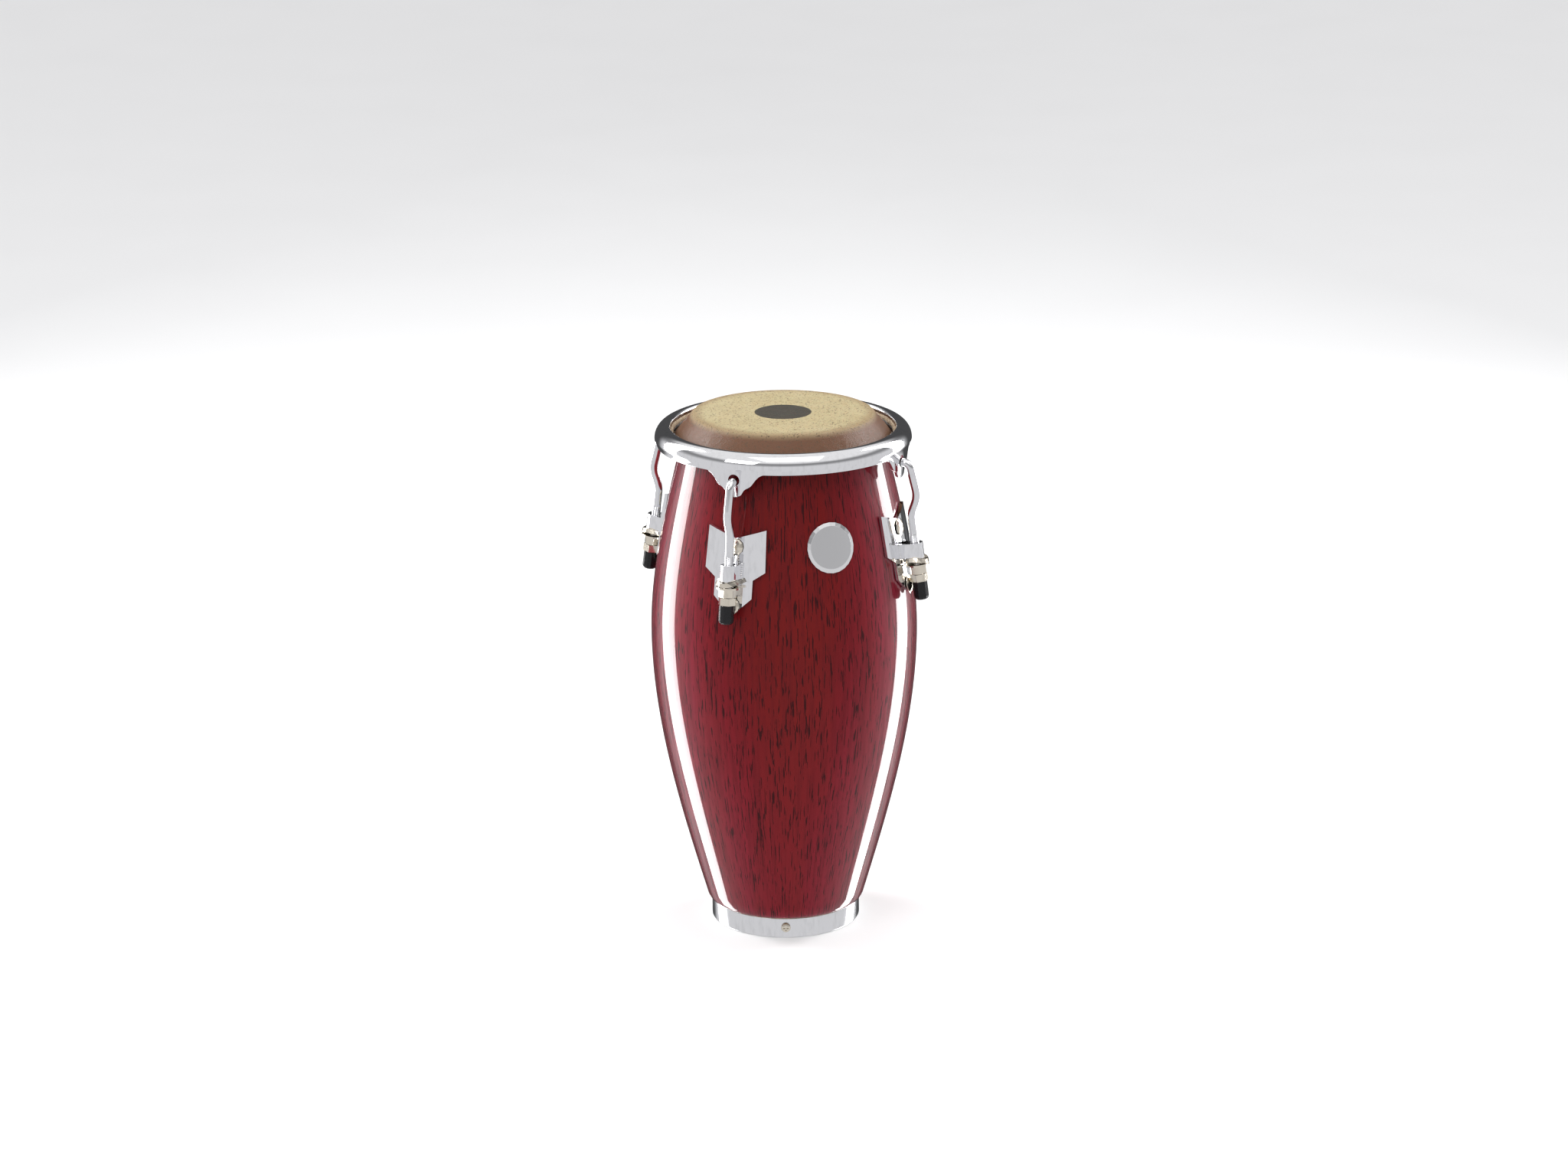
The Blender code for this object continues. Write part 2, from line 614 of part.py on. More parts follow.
def flat_washer_bottom():
    return curved_washer_bottom() - GAP - FLAT_WASHER_SHEET


def tuning_nut_bottom():
    return flat_washer_bottom() - GAP - NUT_HEIGHT


def lock_nut_bottom():
    return tuning_nut_bottom() - GAP - NUT_HEIGHT


def cap_top():
    return lock_nut_bottom() - GAP


def circle(radius, height, sides=ROUND_SIDES):
    angles = [2 * math.pi * i / sides for i in range(sides)]
    return [Vector((radius * math.cos(a), radius * math.sin(a), height)) for a in angles]


def make_curved_washer(number, material, rod):
    bore = ROD_RADIUS + ROD_CLEARANCE
    loops = []
    under = GAP + CURVED_WASHER_SHEET
    corners = ((bore, GAP), (CURVED_WASHER_RADIUS, GAP), (CURVED_WASHER_RADIUS, under), (bore, under))
    for radius, offset in corners:
        loop = []
        for flat in circle(radius, 0.0):
            # The washer is bent about the axis that runs outwards through the strap's saddle.
            angle = flat.y / (SADDLE_RADIUS + GAP + CURVED_WASHER_SHEET / 2)
            y = (SADDLE_RADIUS + offset) * math.sin(angle)
            loop.append(Vector((flat.x, y, saddle_height(y, offset))))
        loops.append(loop)
    add_mesh(f"curved_washer_{number}", lofted(loops), material, parent=rod)


def make_flat_washer(number, material, rod):
    bore = ROD_RADIUS + ROD_CLEARANCE
    low = flat_washer_bottom()
    high = low + FLAT_WASHER_SHEET
    loops = [circle(bore, high), circle(FLAT_WASHER_RADIUS, high),
             circle(FLAT_WASHER_RADIUS, low), circle(bore, low)]
    add_mesh(f"flat_washer_{number}", lofted(loops), material, parent=rod)


def hexagon(flats, height, sides, turn):
    """Points at even angles on a hexagon, so that it can be joined to a round bore."""
    loop = []
    for i in range(sides):
        angle = 2 * math.pi * i / sides
        within = (angle + math.pi / 6) % (math.pi / 3) - math.pi / 6
        radius = flats / 2 / math.cos(within)
        loop.append(Vector((radius * math.cos(angle + turn), radius * math.sin(angle + turn), height)))
    return loop


def nut_mesh(flats, height, bore, turn_degrees, low=0.0):
    turn = math.radians(turn_degrees)
    spin = Matrix.Rotation(turn, 4, 'Z')
    high = low + height
    inner_high = [spin @ point for point in circle(bore, high, SMALL_SIDES)]
    inner_low = [spin @ point for point in circle(bore, low, SMALL_SIDES)]
    outer_high = hexagon(flats, high, SMALL_SIDES, turn)
    outer_low = hexagon(flats, low, SMALL_SIDES, turn)
    return lofted([inner_high, outer_high, outer_low, inner_low])


def make_cap(number, material, rod):
    """A deep cap that the rod's tail ends in."""
    bore = ROD_RADIUS + ROD_CLEARANCE
    low = cap_top() - CAP_HEIGHT
    side = CAP_RADIUS - CAP_ROUND
    round_end = arc_points((side, low + CAP_ROUND), CAP_ROUND, 0.0, -math.pi / 2, 3)
    profile = [(bore, cap_top()), (CAP_RADIUS, cap_top())] + round_end
    profile += [(0.0, low), (0.0, low + CAP_WALL_END), (bore, low + CAP_WALL_END)]
    add_mesh(f"rod_cap_{number}", turned(profile, SMALL_SIDES), material, parent=rod)


def backing_line():
    """Outer face of the backing plate: a chord of the shell's inner curve behind the bolts."""
    high = LUG_HEIGHT + UPPER_BOLT_RISE + BACKING_MARGIN
    low = LUG_HEIGHT + LOWER_BOLT_RISE - BACKING_MARGIN
    flat = (shell_radius(0.5 * (high + low)) - WALL) * (1 - math.cos(math.pi / AROUND))
    top = shell_radius(high) - WALL - GAP - flat
    foot = shell_radius(low) - WALL - GAP - flat
    return low, high, foot, (top - foot) / (high - low)


def make_backing_plate(number, material, lug):
    low, high, foot, slope = backing_line()
    outline = [(-BACKING_HALF, low), (BACKING_HALF, low), (BACKING_HALF, high), (-BACKING_HALF, high)]
    inner_face = foot - BACKING_SHEET
    plate = bent_sheet(outline, lambda z: inner_face + slope * (z - low), BACKING_SHEET, PLATE_COLUMN)
    backing = add_mesh(f"backing_plate_{number}", plate, material, parent=lug)
    holes = bmesh.new()
    for rise in (UPPER_BOLT_RISE, LOWER_BOLT_RISE):
        seat, outward = bolt_seat(rise)
        depth = backing_depth(rise)
        start = seat - outward * (depth - 2 * BACKING_SHEET)
        end = seat - outward * (depth + BACKING_SHEET)
        add_tube(holes, start, end, BOLT_RADIUS + GAP, SMALL_SIDES)
    cut(backing, add_mesh(f"backing_cutter_{number}", holes, material, parent=lug))


def backing_depth(rise):
    """Distance along a bolt from the plate's outer face to the backing plate's inner face."""
    seat, outward = bolt_seat(rise)
    low, high, foot, slope = backing_line()
    at_seat = foot + slope * (seat.z - low) - BACKING_SHEET
    return (seat.x - at_seat) / (outward.x - slope * outward.z)


def make_bolts(number, head_finish, nut_finish, lug):
    for label, rise in (("upper", UPPER_BOLT_RISE), ("lower", LOWER_BOLT_RISE)):
        seat, outward = bolt_seat(rise)
        place = Vector((0, 0, 1)).rotation_difference(outward).to_matrix().to_4x4()
        place = Matrix.Translation(seat) @ place
        depth = backing_depth(rise)
        corner = BOLT_NUT_FLATS / math.sqrt(3.0)
        bow = corner * corner / (2 * (seat.x - depth))
        nut_high = -(depth + GAP + bow)
        nut = nut_mesh(BOLT_NUT_FLATS, BOLT_NUT_HEIGHT, BOLT_RADIUS + GAP, 0.0, nut_high - BOLT_NUT_HEIGHT)
        add_mesh(f"bolt_nut_{label}_{number}", nut, nut_finish, parent=lug, local=place)
        head = BOLT_HEAD_RADIUS
        rim = GAP + BOLT_HEAD_RIM
        top = GAP + BOLT_HEAD_HEIGHT
        profile = [(0.0, top), (head * 0.45, top - (top - rim) * 0.18), (head * 0.8, top - (top - rim) * 0.6),
                   (head, rim), (head, GAP), (BOLT_RADIUS, GAP),
                   (BOLT_RADIUS, nut_high - BOLT_NUT_HEIGHT - BOLT_TAIL),
                   (0.0, nut_high - BOLT_NUT_HEIGHT - BOLT_TAIL)]
        bolt = turned(profile, SMALL_SIDES)
        add_mesh(f"lug_bolt_{label}_{number}", bolt, head_finish, parent=lug, local=place)


def make_badge(material):
    """A thin disc with a bevelled rim, bent to lie on the shell."""
    loops = []
    flat = BADGE_RADIUS - BADGE_BEVEL
    rows = ((flat, GAP), (BADGE_RADIUS, GAP), (BADGE_RADIUS, GAP + BADGE_SHEET - BADGE_BEVEL_DROP),
            (flat, GAP + BADGE_SHEET))
    mesh_data = bmesh.new()
    for radius, lift in rows:
        loop = []
        for point in circle(radius, 0.0, SEAT_SIDES):
            height = BADGE_HEIGHT + point.y
            reach = shell_radius(height) + lift
            angle = point.x / reach
            loop.append(mesh_data.verts.new((reach * math.cos(angle), reach * math.sin(angle), height)))
        loops.append(loop)
    for loop, following in zip(loops, loops[1:]):
        for i in range(SEAT_SIDES):
            j = (i + 1) % SEAT_SIDES
            mesh_data.faces.new((loop[i], loop[j], following[j], following[i]))
    for loop, lift in ((loops[0], GAP), (loops[-1], GAP + BADGE_SHEET)):
        rows_across = SEAT_SIDES // 2
        for i in range(rows_across):
            # Rungs straight across the disc keep its faces along the shell's length.
            a, b = loop[i], loop[i + 1]
            c, d = loop[SEAT_SIDES - i - 1], loop[(SEAT_SIDES - i) % SEAT_SIDES]
            corners = list(dict.fromkeys((a, b, c, d)))
            mesh_data.faces.new(corners)
    add_mesh("badge", mesh_data, material, local=azimuth_frame(BADGE_DEGREES))


def make_conga():
    chrome = finish("chrome", (0.80, 0.80, 0.82), 0.06, 1.0)
    nickel = finish("nickel", (0.72, 0.66, 0.55), 0.18, 1.0)
    make_shell(finish("wine_red_lacquer", (0.20, 0.012, 0.020), 0.08, 0.0))
    make_bottom_ring(chrome)
    make_ring_screws(nickel)
    make_drumhead(finish("skin", (0.62, 0.50, 0.30), 0.55, 0.0))
    make_flesh_hoop(finish("hoop_steel", (0.42, 0.42, 0.43), 0.35, 1.0))
    make_crown(chrome)
    make_badge(finish("badge_metal", (0.70, 0.70, 0.72), 0.30, 1.0))
    zinc = finish("zinc", (0.50, 0.50, 0.50), 0.40, 1.0)
    black = finish("black_cap", (0.012, 0.012, 0.012), 0.25, 0.0)
    for number, degrees in enumerate(lug_angles(), start=1):
        lug = add_empty(f"lug_place_{number}", local=azimuth_frame(degrees))
        rod = add_empty(f"rod_axis_{number}", parent=lug, local=rod_frame())
        make_bracket(number, chrome, lug)
        make_backing_plate(number, zinc, lug)
        make_bolts(number, nickel, zinc, lug)
        make_hook(number, chrome, lug, rod)
        make_curved_washer(number, nickel, rod)
        make_flat_washer(number, nickel, rod)
        bore = ROD_RADIUS + ROD_CLEARANCE
        tuning = nut_mesh(NUT_FLATS, NUT_HEIGHT, bore, NUT_TURN_DEGREES, tuning_nut_bottom())
        add_mesh(f"tuning_nut_{number}", tuning, nickel, parent=rod)
        lock = nut_mesh(NUT_FLATS, NUT_HEIGHT, bore, LOCK_NUT_TURN_DEGREES, lock_nut_bottom())
        add_mesh(f"lock_nut_{number}", lock, nickel, parent=rod)
        make_cap(number, black, rod)


clear_scene()
make_conga()
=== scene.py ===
import math
import random

import bmesh
import bpy
from mathutils import Matrix, Vector, noise


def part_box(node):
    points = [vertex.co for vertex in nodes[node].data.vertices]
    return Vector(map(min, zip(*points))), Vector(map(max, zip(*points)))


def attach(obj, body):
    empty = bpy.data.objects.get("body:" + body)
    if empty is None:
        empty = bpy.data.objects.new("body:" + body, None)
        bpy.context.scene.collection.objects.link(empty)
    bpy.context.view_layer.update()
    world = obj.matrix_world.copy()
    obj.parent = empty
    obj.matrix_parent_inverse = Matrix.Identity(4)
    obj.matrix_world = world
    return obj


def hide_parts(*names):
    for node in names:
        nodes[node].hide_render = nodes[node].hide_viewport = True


# %% [markdown]
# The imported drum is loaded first. Its solids carry the joints, so they are never moved. A finer
# piece could be modelled anywhere and pushed into place by eye, but it would then miss its solid.
# Instead every piece made here is drawn round its solid and rides with one of the bodies.

# %% Load the frame
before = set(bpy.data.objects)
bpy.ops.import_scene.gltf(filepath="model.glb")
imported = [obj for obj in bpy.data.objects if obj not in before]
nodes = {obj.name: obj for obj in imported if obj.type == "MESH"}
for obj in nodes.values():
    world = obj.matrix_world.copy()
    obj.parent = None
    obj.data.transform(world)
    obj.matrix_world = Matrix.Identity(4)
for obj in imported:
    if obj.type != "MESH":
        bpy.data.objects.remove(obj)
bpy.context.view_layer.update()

# %% [markdown]
# The photograph was taken from the front with a long lens, a little over two metres away, looking
# down at 17 degrees. A camera could be placed by eye, but then a wrong shape and a wrong camera
# can't be told apart. This one was fitted to the ellipses that the drum's round rims make.

# %% Camera
CAMERA_PITCH = math.radians(17.019)
CAMERA_ROLL = math.radians(-0.319)
CAMERA_AT = (0.0, -2.10743, 0.82806)
FOCAL_PIXELS = 5431.07
PHOTO_WIDTH = 2048
SENSOR = 36.0
forward = Vector((0.0, math.cos(CAMERA_PITCH), -math.sin(CAMERA_PITCH)))
level = Vector((1.0, 0.0, 0.0))
above = level.cross(forward)
right = math.cos(CAMERA_ROLL) * level + math.sin(CAMERA_ROLL) * above
up = -math.sin(CAMERA_ROLL) * level + math.cos(CAMERA_ROLL) * above
camera_data = bpy.data.cameras.new("camera")
camera_data.sensor_width = SENSOR
camera_data.lens = FOCAL_PIXELS * SENSOR / PHOTO_WIDTH
camera_data.clip_end = 50.0
camera = bpy.data.objects.new("camera", camera_data)
bpy.context.scene.collection.objects.link(camera)
turn = Matrix((right, up, -forward)).transposed().to_4x4()
camera.matrix_world = Matrix.Translation(CAMERA_AT) @ turn
bpy.context.scene.camera = camera
print("camera lens:", round(camera_data.lens, 2), "mm")

# %% [markdown]
# Finishes are made of nodes, and a long chain of node calls is hard to read. So shader maths is
# written as Python expressions here: a Wire is one output socket, and adding, subtracting or
# multiplying Wires adds the Math nodes. Every other node comes from one method, node.

# %% Wires and nodes


class Wire:
    """One output socket in a node tree."""

    def __init__(self, tree, socket):
        self.tree = tree
        self.socket = socket

    def maths(self, operation, first, second):
        return self.tree.node("Math", {"operation": operation}, first, second)

    def __add__(self, other):
        return self.maths('ADD', self, other)

    def __mul__(self, other):
        return self.maths('MULTIPLY', self, other)

    def __sub__(self, other):
        return self.maths('SUBTRACT', self, other)

    def __rsub__(self, other):
        return self.maths('SUBTRACT', other, self)

    __radd__ = __add__
    __rmul__ = __mul__

    def between(self, low, high):
        """0 below low and 1 above high, smooth in between."""
        return self.tree.node("MapRange", {"interpolation_type": 'SMOOTHSTEP'}, self, low, high)


class Tree:
    """The nodes of a material or of the world."""

    def __init__(self, node_tree):
        self.nodes = node_tree.nodes
        self.links = node_tree.links

    def put(self, socket, value):
        """Give a socket a link, a colour or a plain value."""
        if isinstance(value, Wire):
            self.links.new(value.socket, socket)
        elif isinstance(value, tuple) and socket.type == 'RGBA':
            socket.default_value = (*value, 1.0)
        else:
            socket.default_value = value

    def node(self, kind, settings, *values, output=0, numbered=(), **named):
        """Add a node and return one output. Sockets are filled in order, by number or by name."""
        made = self.nodes.new("ShaderNode" + kind)
        for key, value in settings.items():
            setattr(made, key, value)
        for socket, value in zip(made.inputs, values):
            self.put(socket, value)
        for key, value in (*numbered, *named.items()):
            self.put(made.inputs[key], value)
        return Wire(self, made.outputs[output])


# %% [markdown]
# The studio itself isn't in the picture, but the chrome mirrors it. One even sky would light the
# drum well enough, and chrome would look like grey paint in it. So the camera and the lit
# surfaces get a plain pale sky, and reflections alone see bands: pale up to the horizon, dark
# above it, pale again overhead, and nearly black behind the drum.

# %% Sky
scene = bpy.context.scene
scene.view_settings.view_transform = 'Standard'
world = bpy.data.worlds.new("studio")
scene.world = world
world.use_nodes = True
studio = Tree(world.node_tree)
studio.nodes.clear()
direction = studio.node("TexCoord", {}, output="Generated")


def sky(colour, strength=1.0):
    return studio.node("Background", {}, colour, strength)


def either(factor, first, second):
    return studio.node("MixShader", {}, factor, first, second)


def band(axis, low, high):
    """0 below low and 1 above high, along one axis of the direction that is looked in."""
    return studio.node("SeparateXYZ", {}, direction, output=axis).between(low, high)


upper = either(band("Z", 0.42, 0.66), sky((0.26, 0.26, 0.265)), sky((0.88, 0.88, 0.88)))
level_sky = either(band("Z", 0.08, 0.38), sky((0.70, 0.70, 0.71)), upper)
reflected = either(band("Y", 0.66, 0.84), level_sky, sky((0.07, 0.07, 0.072)))
glossy_ray = studio.node("LightPath", {}, output="Is Glossy Ray")
camera_ray = studio.node("LightPath", {}, output="Is Camera Ray")
lit = either(glossy_ray, sky((0.82, 0.82, 0.83), 1.12), reflected)
shown = either(camera_ray, lit, sky((1.0, 1.0, 1.0)))
out = studio.nodes.new("ShaderNodeOutputWorld")
studio.put(out.inputs["Surface"], shown)
print("sky:", len(studio.nodes), "nodes")

# %% [markdown]
# The lacquer shows two tall upright highlights, which are two tall lamps mirrored in a barrel.
# They could be painted on, but they have to move as the drum is looked at from other sides. So
# two soft boxes stand a little behind the drum at its sides, and two weaker ones fill the front
# and the top.

# %% Soft boxes


def soft_box(name, azimuth, distance, height, size, power, aim=0.14):
    """An area light that looks at the drum from an azimuth; 0 is the front."""
    data = bpy.data.lights.new(name, 'AREA')
    data.shape = 'RECTANGLE'
    data.size, data.size_y = size
    data.energy = power
    box = bpy.data.objects.new(name, data)
    a = math.radians(azimuth)
    box.location = (distance * math.sin(a), -distance * math.cos(a), height)
    box.rotation_euler = (Vector((0, 0, aim)) - box.location).to_track_quat('-Z', 'Y').to_euler()
    scene.collection.objects.link(box)


soft_box("left_box", -117, 1.25, 0.10, (0.46, 3.4), 44.0, 0.10)
soft_box("right_box", 121, 1.25, 0.10, (0.42, 3.4), 42.0, 0.10)
soft_box("front_left_box", -40, 1.5, 1.15, (0.8, 0.6), 6.0)
soft_box("top_box", 10, 0.7, 1.9, (1.3, 1.3), 5.0)

# %% [markdown]
# The drum stands on a plain pale floor, which is one large square just under the foot, so that
# the two faces don't share a plane.

# %% Floor
FLOOR_HALF = 6.0
FLOOR_DROP = 0.0002
floor_corners = [(x * FLOOR_HALF, y * FLOOR_HALF, 0.0) for x, y in ((-1, -1), (1, -1), (1, 1), (-1, 1))]
floor_mesh = bpy.data.meshes.new("floor")
floor_mesh.from_pydata(floor_corners, [], [(0, 1, 2, 3)])
floor = bpy.data.objects.new("floor", floor_mesh)
scene.collection.objects.link(floor)
floor.location.z = -FLOOR_DROP
print("floor:", 2 * FLOOR_HALF, "m wide")

# %% [markdown]
# Each finish is one material with one Principled BSDF. Its patterns could be picture textures,
# but those blur close up and need unwrapped meshes. Noise that is read at the place of a point on
# the piece needs neither, and it stays on the piece when a joint moves it.

# %% Finishes
MEAN_RADIUS = 0.062
MIX_FACTOR, MIX_FIRST_COLOUR, MIX_SECOND_COLOUR, MIX_COLOUR_OUT = 0, 6, 7, 2


class Look(Tree):
    """A material with one Principled BSDF."""

    def __init__(self, name, colour, roughness, metallic=0.0, coat=0.0, coat_roughness=0.03):
        self.material = bpy.data.materials.new(name)
        self.material.use_nodes = True
        super().__init__(self.material.node_tree)
        self.shader = self.nodes["Principled BSDF"]
        self.set("Base Color", colour)
        self.set("Roughness", roughness)
        self.set("Metallic", metallic)
        self.set("Coat Weight", coat)
        self.set("Coat Roughness", coat_roughness)

    def set(self, name, value):
        """Set one of the shader's own sockets, or link it."""
        self.put(self.shader.inputs[name], value)

    def place(self, scale=(1.0, 1.0, 1.0), move=(0.0, 0.0, 0.0)):
        """Where a point is on the piece, moved and then stretched."""
        here = self.node("TexCoord", {}, output="Object")
        moved = self.node("VectorMath", {"operation": 'SUBTRACT'}, here, move)
        return self.node("VectorMath", {"operation": 'MULTIPLY'}, moved, scale)

    def grain(self, scale, detail=3.0, rough=0.5):
        """Noise, with its own stretch along each axis, from about 0 to 1."""
        where = self.place(scale)
        return self.node("TexNoise", {}, Vector=where, Scale=1.0, Detail=detail, Roughness=rough)

    def staves(self, across, along, detail=3.0):
        """Noise that runs up the shell: its place is taken on a plain cylinder round the axis."""
        outward = self.node("VectorMath", {"operation": 'NORMALIZE'}, self.place((1.0, 1.0, 0.0)))
        stretch = (across * MEAN_RADIUS,) * 3
        wide = self.node("VectorMath", {"operation": 'MULTIPLY'}, outward, stretch)
        both = self.node("VectorMath", {"operation": 'ADD'}, wide, self.place((0.0, 0.0, along)))
        return self.node("TexNoise", {}, Vector=both, Scale=1.0, Detail=detail)

    def mix(self, share, first, second):
        """A colour between two colours."""
        sockets = ((MIX_FACTOR, share), (MIX_FIRST_COLOUR, first), (MIX_SECOND_COLOUR, second))
        return self.node("Mix", {"data_type": 'RGBA'}, numbered=sockets, output=MIX_COLOUR_OUT)

    def bump(self, height, strength, distance):
        self.set("Normal", self.node("Bump", {}, Height=height, Strength=strength, Distance=distance))

    def clear_in_reflections(self):
        """Let reflected rays through, so that gloss and chrome reflect the sky's own lower half."""
        glossy = self.node("LightPath", {}, output="Is Glossy Ray")
        clear = self.node("BsdfTransparent", {})
        both = self.node("MixShader", {}, glossy, Wire(self, self.shader.outputs[0]), clear)
        self.put(self.nodes["Material Output"].inputs["Surface"], both)


# %% [markdown]
# The lacquer lies over open-grained wood: a wine red that turns browner in broad bands, with
# short dark pores that run up the staves. The clear coat above it is smooth and glossy. A wood
# picture could be wrapped round the shell, but its seam would show, and noise on a cylinder has
# none. The coat is strongest at a grazing angle, which is gloss. The red is also painted brighter
# there than in the middle, as a painted sheen: that part follows the camera, and an exported model
# loses it.

# %% Lacquer
lacquer = Look("wine_red_lacquer", (0.15, 0.006, 0.010), 0.42, coat=0.8, coat_roughness=0.035)
lacquer.set("Specular IOR Level", 0.08)
bands = lacquer.staves(60.0, 6.0, 4.0).between(0.35, 0.68)
fine = lacquer.staves(560.0, 26.0).between(0.35, 0.7)
pores = lacquer.staves(1350.0, 100.0, 2.0).between(0.578, 0.62)
# Painted sheen: the base red is mixed brighter and more magenta where the surface turns away from the
# camera.
painted_edge_sheen = lacquer.node("LayerWeight", {}, Blend=0.5, output=1).between(0.02, 0.42)
grazing = lacquer.node("LayerWeight", {}, Blend=0.5, output=1).between(0.16, 0.5)
lacquer.set("Coat Weight", 0.10 + 0.90 * grazing)
colour = lacquer.mix(painted_edge_sheen, (0.120, 0.004, 0.004), (0.205, 0.009, 0.024))
colour = lacquer.mix(bands * 0.35, colour, (0.150, 0.009, 0.008))
colour = lacquer.mix(fine * 0.40, colour, (0.070, 0.003, 0.006))
colour = lacquer.mix(pores * 0.86, colour, (0.018, 0.002, 0.003))
lacquer.set("Base Color", colour)
lacquer.set("Roughness", 0.36 + 0.2 * fine)
print("lacquer:", len(lacquer.nodes), "nodes")

# %% [markdown]
# Inside the drum the wood is bare and dull. It gets the same kind of noise as the lacquer, in
# plain wood colours, and a bump, because nothing smooths its pores over.

# %% Bare wood
bare = Look("bare_wood", (0.42, 0.26, 0.14), 0.75)
rings = bare.staves(160.0, 8.0, 5.0).between(0.3, 0.72)
fleck = bare.staves(1300.0, 80.0, 2.0).between(0.56, 0.66)
wood = bare.mix(rings, (0.30, 0.17, 0.085), (0.50, 0.33, 0.19))
bare.set("Base Color", bare.mix(fleck * 0.6, wood, (0.13, 0.065, 0.03)))
bare.bump(rings + fleck * 0.5, 0.35, 0.0004)
print("bare wood:", len(bare.nodes), "nodes")

# %% [markdown]
# Metals: polished chrome with the faintest waviness and wipe marks, warmer nickel on the small
# hardware, and dull zinc inside the drum. One flat roughness each would do from far away. They
# differ only in colour, roughness, marks and waviness, so one function makes them all.

# %% Metals
MARK_SHADE = 0.86


def metal(name, colour, roughness, marks, wave):
    look = Look(name, colour, roughness, metallic=1.0)
    wipe = look.grain((420.0, 420.0, 120.0), 4.0).between(0.45, 0.75)
    look.set("Roughness", roughness + marks * wipe)
    dull = tuple(MARK_SHADE * c for c in colour)
    look.set("Base Color", look.mix(wipe * 0.6, colour, dull))
    look.bump(look.grain((60.0, 60.0, 60.0), 1.0), wave * 0.4, 0.0003)
    return look


chrome = metal("chrome", (0.86, 0.86, 0.88), 0.055, 0.05, 0.05)
satin = metal("satin_chrome", (0.84, 0.84, 0.86), 0.13, 0.08, 0.05)
nickel = metal("nickel", (0.80, 0.735, 0.63), 0.16, 0.12, 0.08)
zinc = metal("zinc", (0.52, 0.52, 0.51), 0.38, 0.15, 0.15)
rod_steel = metal("rod_chrome", (0.82, 0.82, 0.84), 0.09, 0.07, 0.05)
print("metals: 5")

# %% [markdown]
# The rods end in black moulded caps. They are nearly black and a little uneven in their gloss, as
# moulded plastic is, with a coat that catches a soft highlight.

# %% Black caps
cap = Look("black_cap", (0.006, 0.006, 0.007), 0.22, coat=0.15, coat_roughness=0.08)
cap.set("Specular IOR Level", 0.25)
cap.set("Roughness", 0.2 + 0.14 * cap.grain((500.0, 500.0, 500.0)))
cap.bump(cap.grain((900.0, 900.0, 900.0)), 0.12, 0.0002)
print("caps:", len(cap.nodes), "nodes")

# %% [markdown]
# The badge is a metal disc, brushed on its face and polished on its bevelled rim. The rim could
# have a material of its own, but the solid is already bevelled there, so one material is enough:
# it tells the rim by the distance from the badge's middle. The face is bare.

# %% Badge
RIM_FROM, RIM_TO = 0.01125, 0.0113
badge_low, badge_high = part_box("badge")
badge_centre = (badge_low + badge_high) / 2
badge = Look("badge_face", (0.62, 0.62, 0.63), 0.30, metallic=1.0)
off_centre = badge.place(move=tuple(badge_centre))
from_middle = badge.node("VectorMath", {"operation": 'LENGTH'}, off_centre, output=1)
rim = from_middle.between(RIM_FROM, RIM_TO)
brushed = badge.grain((2600.0, 2600.0, 90.0), 2.0)
badge.set("Base Color", badge.mix(rim, (0.66, 0.66, 0.67), (0.86, 0.86, 0.87)))
badge.set("Roughness", 0.36 - 0.26 * rim + 0.1 * brushed)
badge.bump(brushed * (1.0 - rim), 0.12, 0.0001)
print("badge centre:", [round(v, 4) for v in badge_centre])

# %% [markdown]
# The floor is matt and pale. Chrome low on the drum would mirror it as one bright sheet, so
# reflected rays pass through the floor and find the sky's own lower half.

# %% Floor finish
floor_look = Look("floor", (0.85, 0.85, 0.85), 0.6)
floor_look.set("Roughness", 0.55 + 0.1 * floor_look.grain((9.0, 9.0, 9.0)))
floor_look.clear_in_reflections()
floor_mesh.materials.append(floor_look.material)
print("floor finish:", len(floor_look.nodes), "nodes")

# %% [markdown]
# The skin is beige, mottled and full of fine brown specks. Painted shade darkens it to brown at the
# crease over the bearing edge. Down the collar it is glossier and a darker red-brown: partly its own
# browner tone, partly a painted red reflection of the shell. A plain dark round patch is printed in
# the middle of the head. The zones could be separate materials, but then each border would be a
# hard line; the distance from the drum's axis blends them in one.

# %% Skin finish
HEAD_TOP = 0.2794
CREASE_FROM, CREASE_TO, COLLAR_TO = 0.0405, 0.0470, 0.0500
PATCH_FROM, PATCH_TO = 0.01465, 0.0152
PATCH_RAGGED = 0.0011
skin = Look("skin", (0.48, 0.40, 0.23), 0.5)
skin.set("Specular IOR Level", 0.28)
skin.set("Subsurface Weight", 0.08)
skin.set("Subsurface Scale", 0.002)
flat_place = skin.place((1.0, 1.0, 0.0))
out_from_axis = skin.node("VectorMath", {"operation": 'LENGTH'}, flat_place, output=1)
mottle = skin.grain((95.0, 95.0, 95.0), 5.0, 0.6).between(0.3, 0.72)
cloud = skin.grain((26.0, 26.0, 26.0), 3.0).between(0.3, 0.7)
speck = skin.grain((1150.0, 1150.0, 800.0), 3.0).between(0.575, 0.65)
tone = skin.mix(mottle * 0.55, (0.415, 0.345, 0.195), (0.335, 0.27, 0.145))
tone = skin.mix(cloud * 0.30, tone, (0.46, 0.395, 0.245))
# Painted shade: brown is mixed in over the crease at the bearing edge.
crease_painted_shade = out_from_axis.between(CREASE_FROM, CREASE_TO)
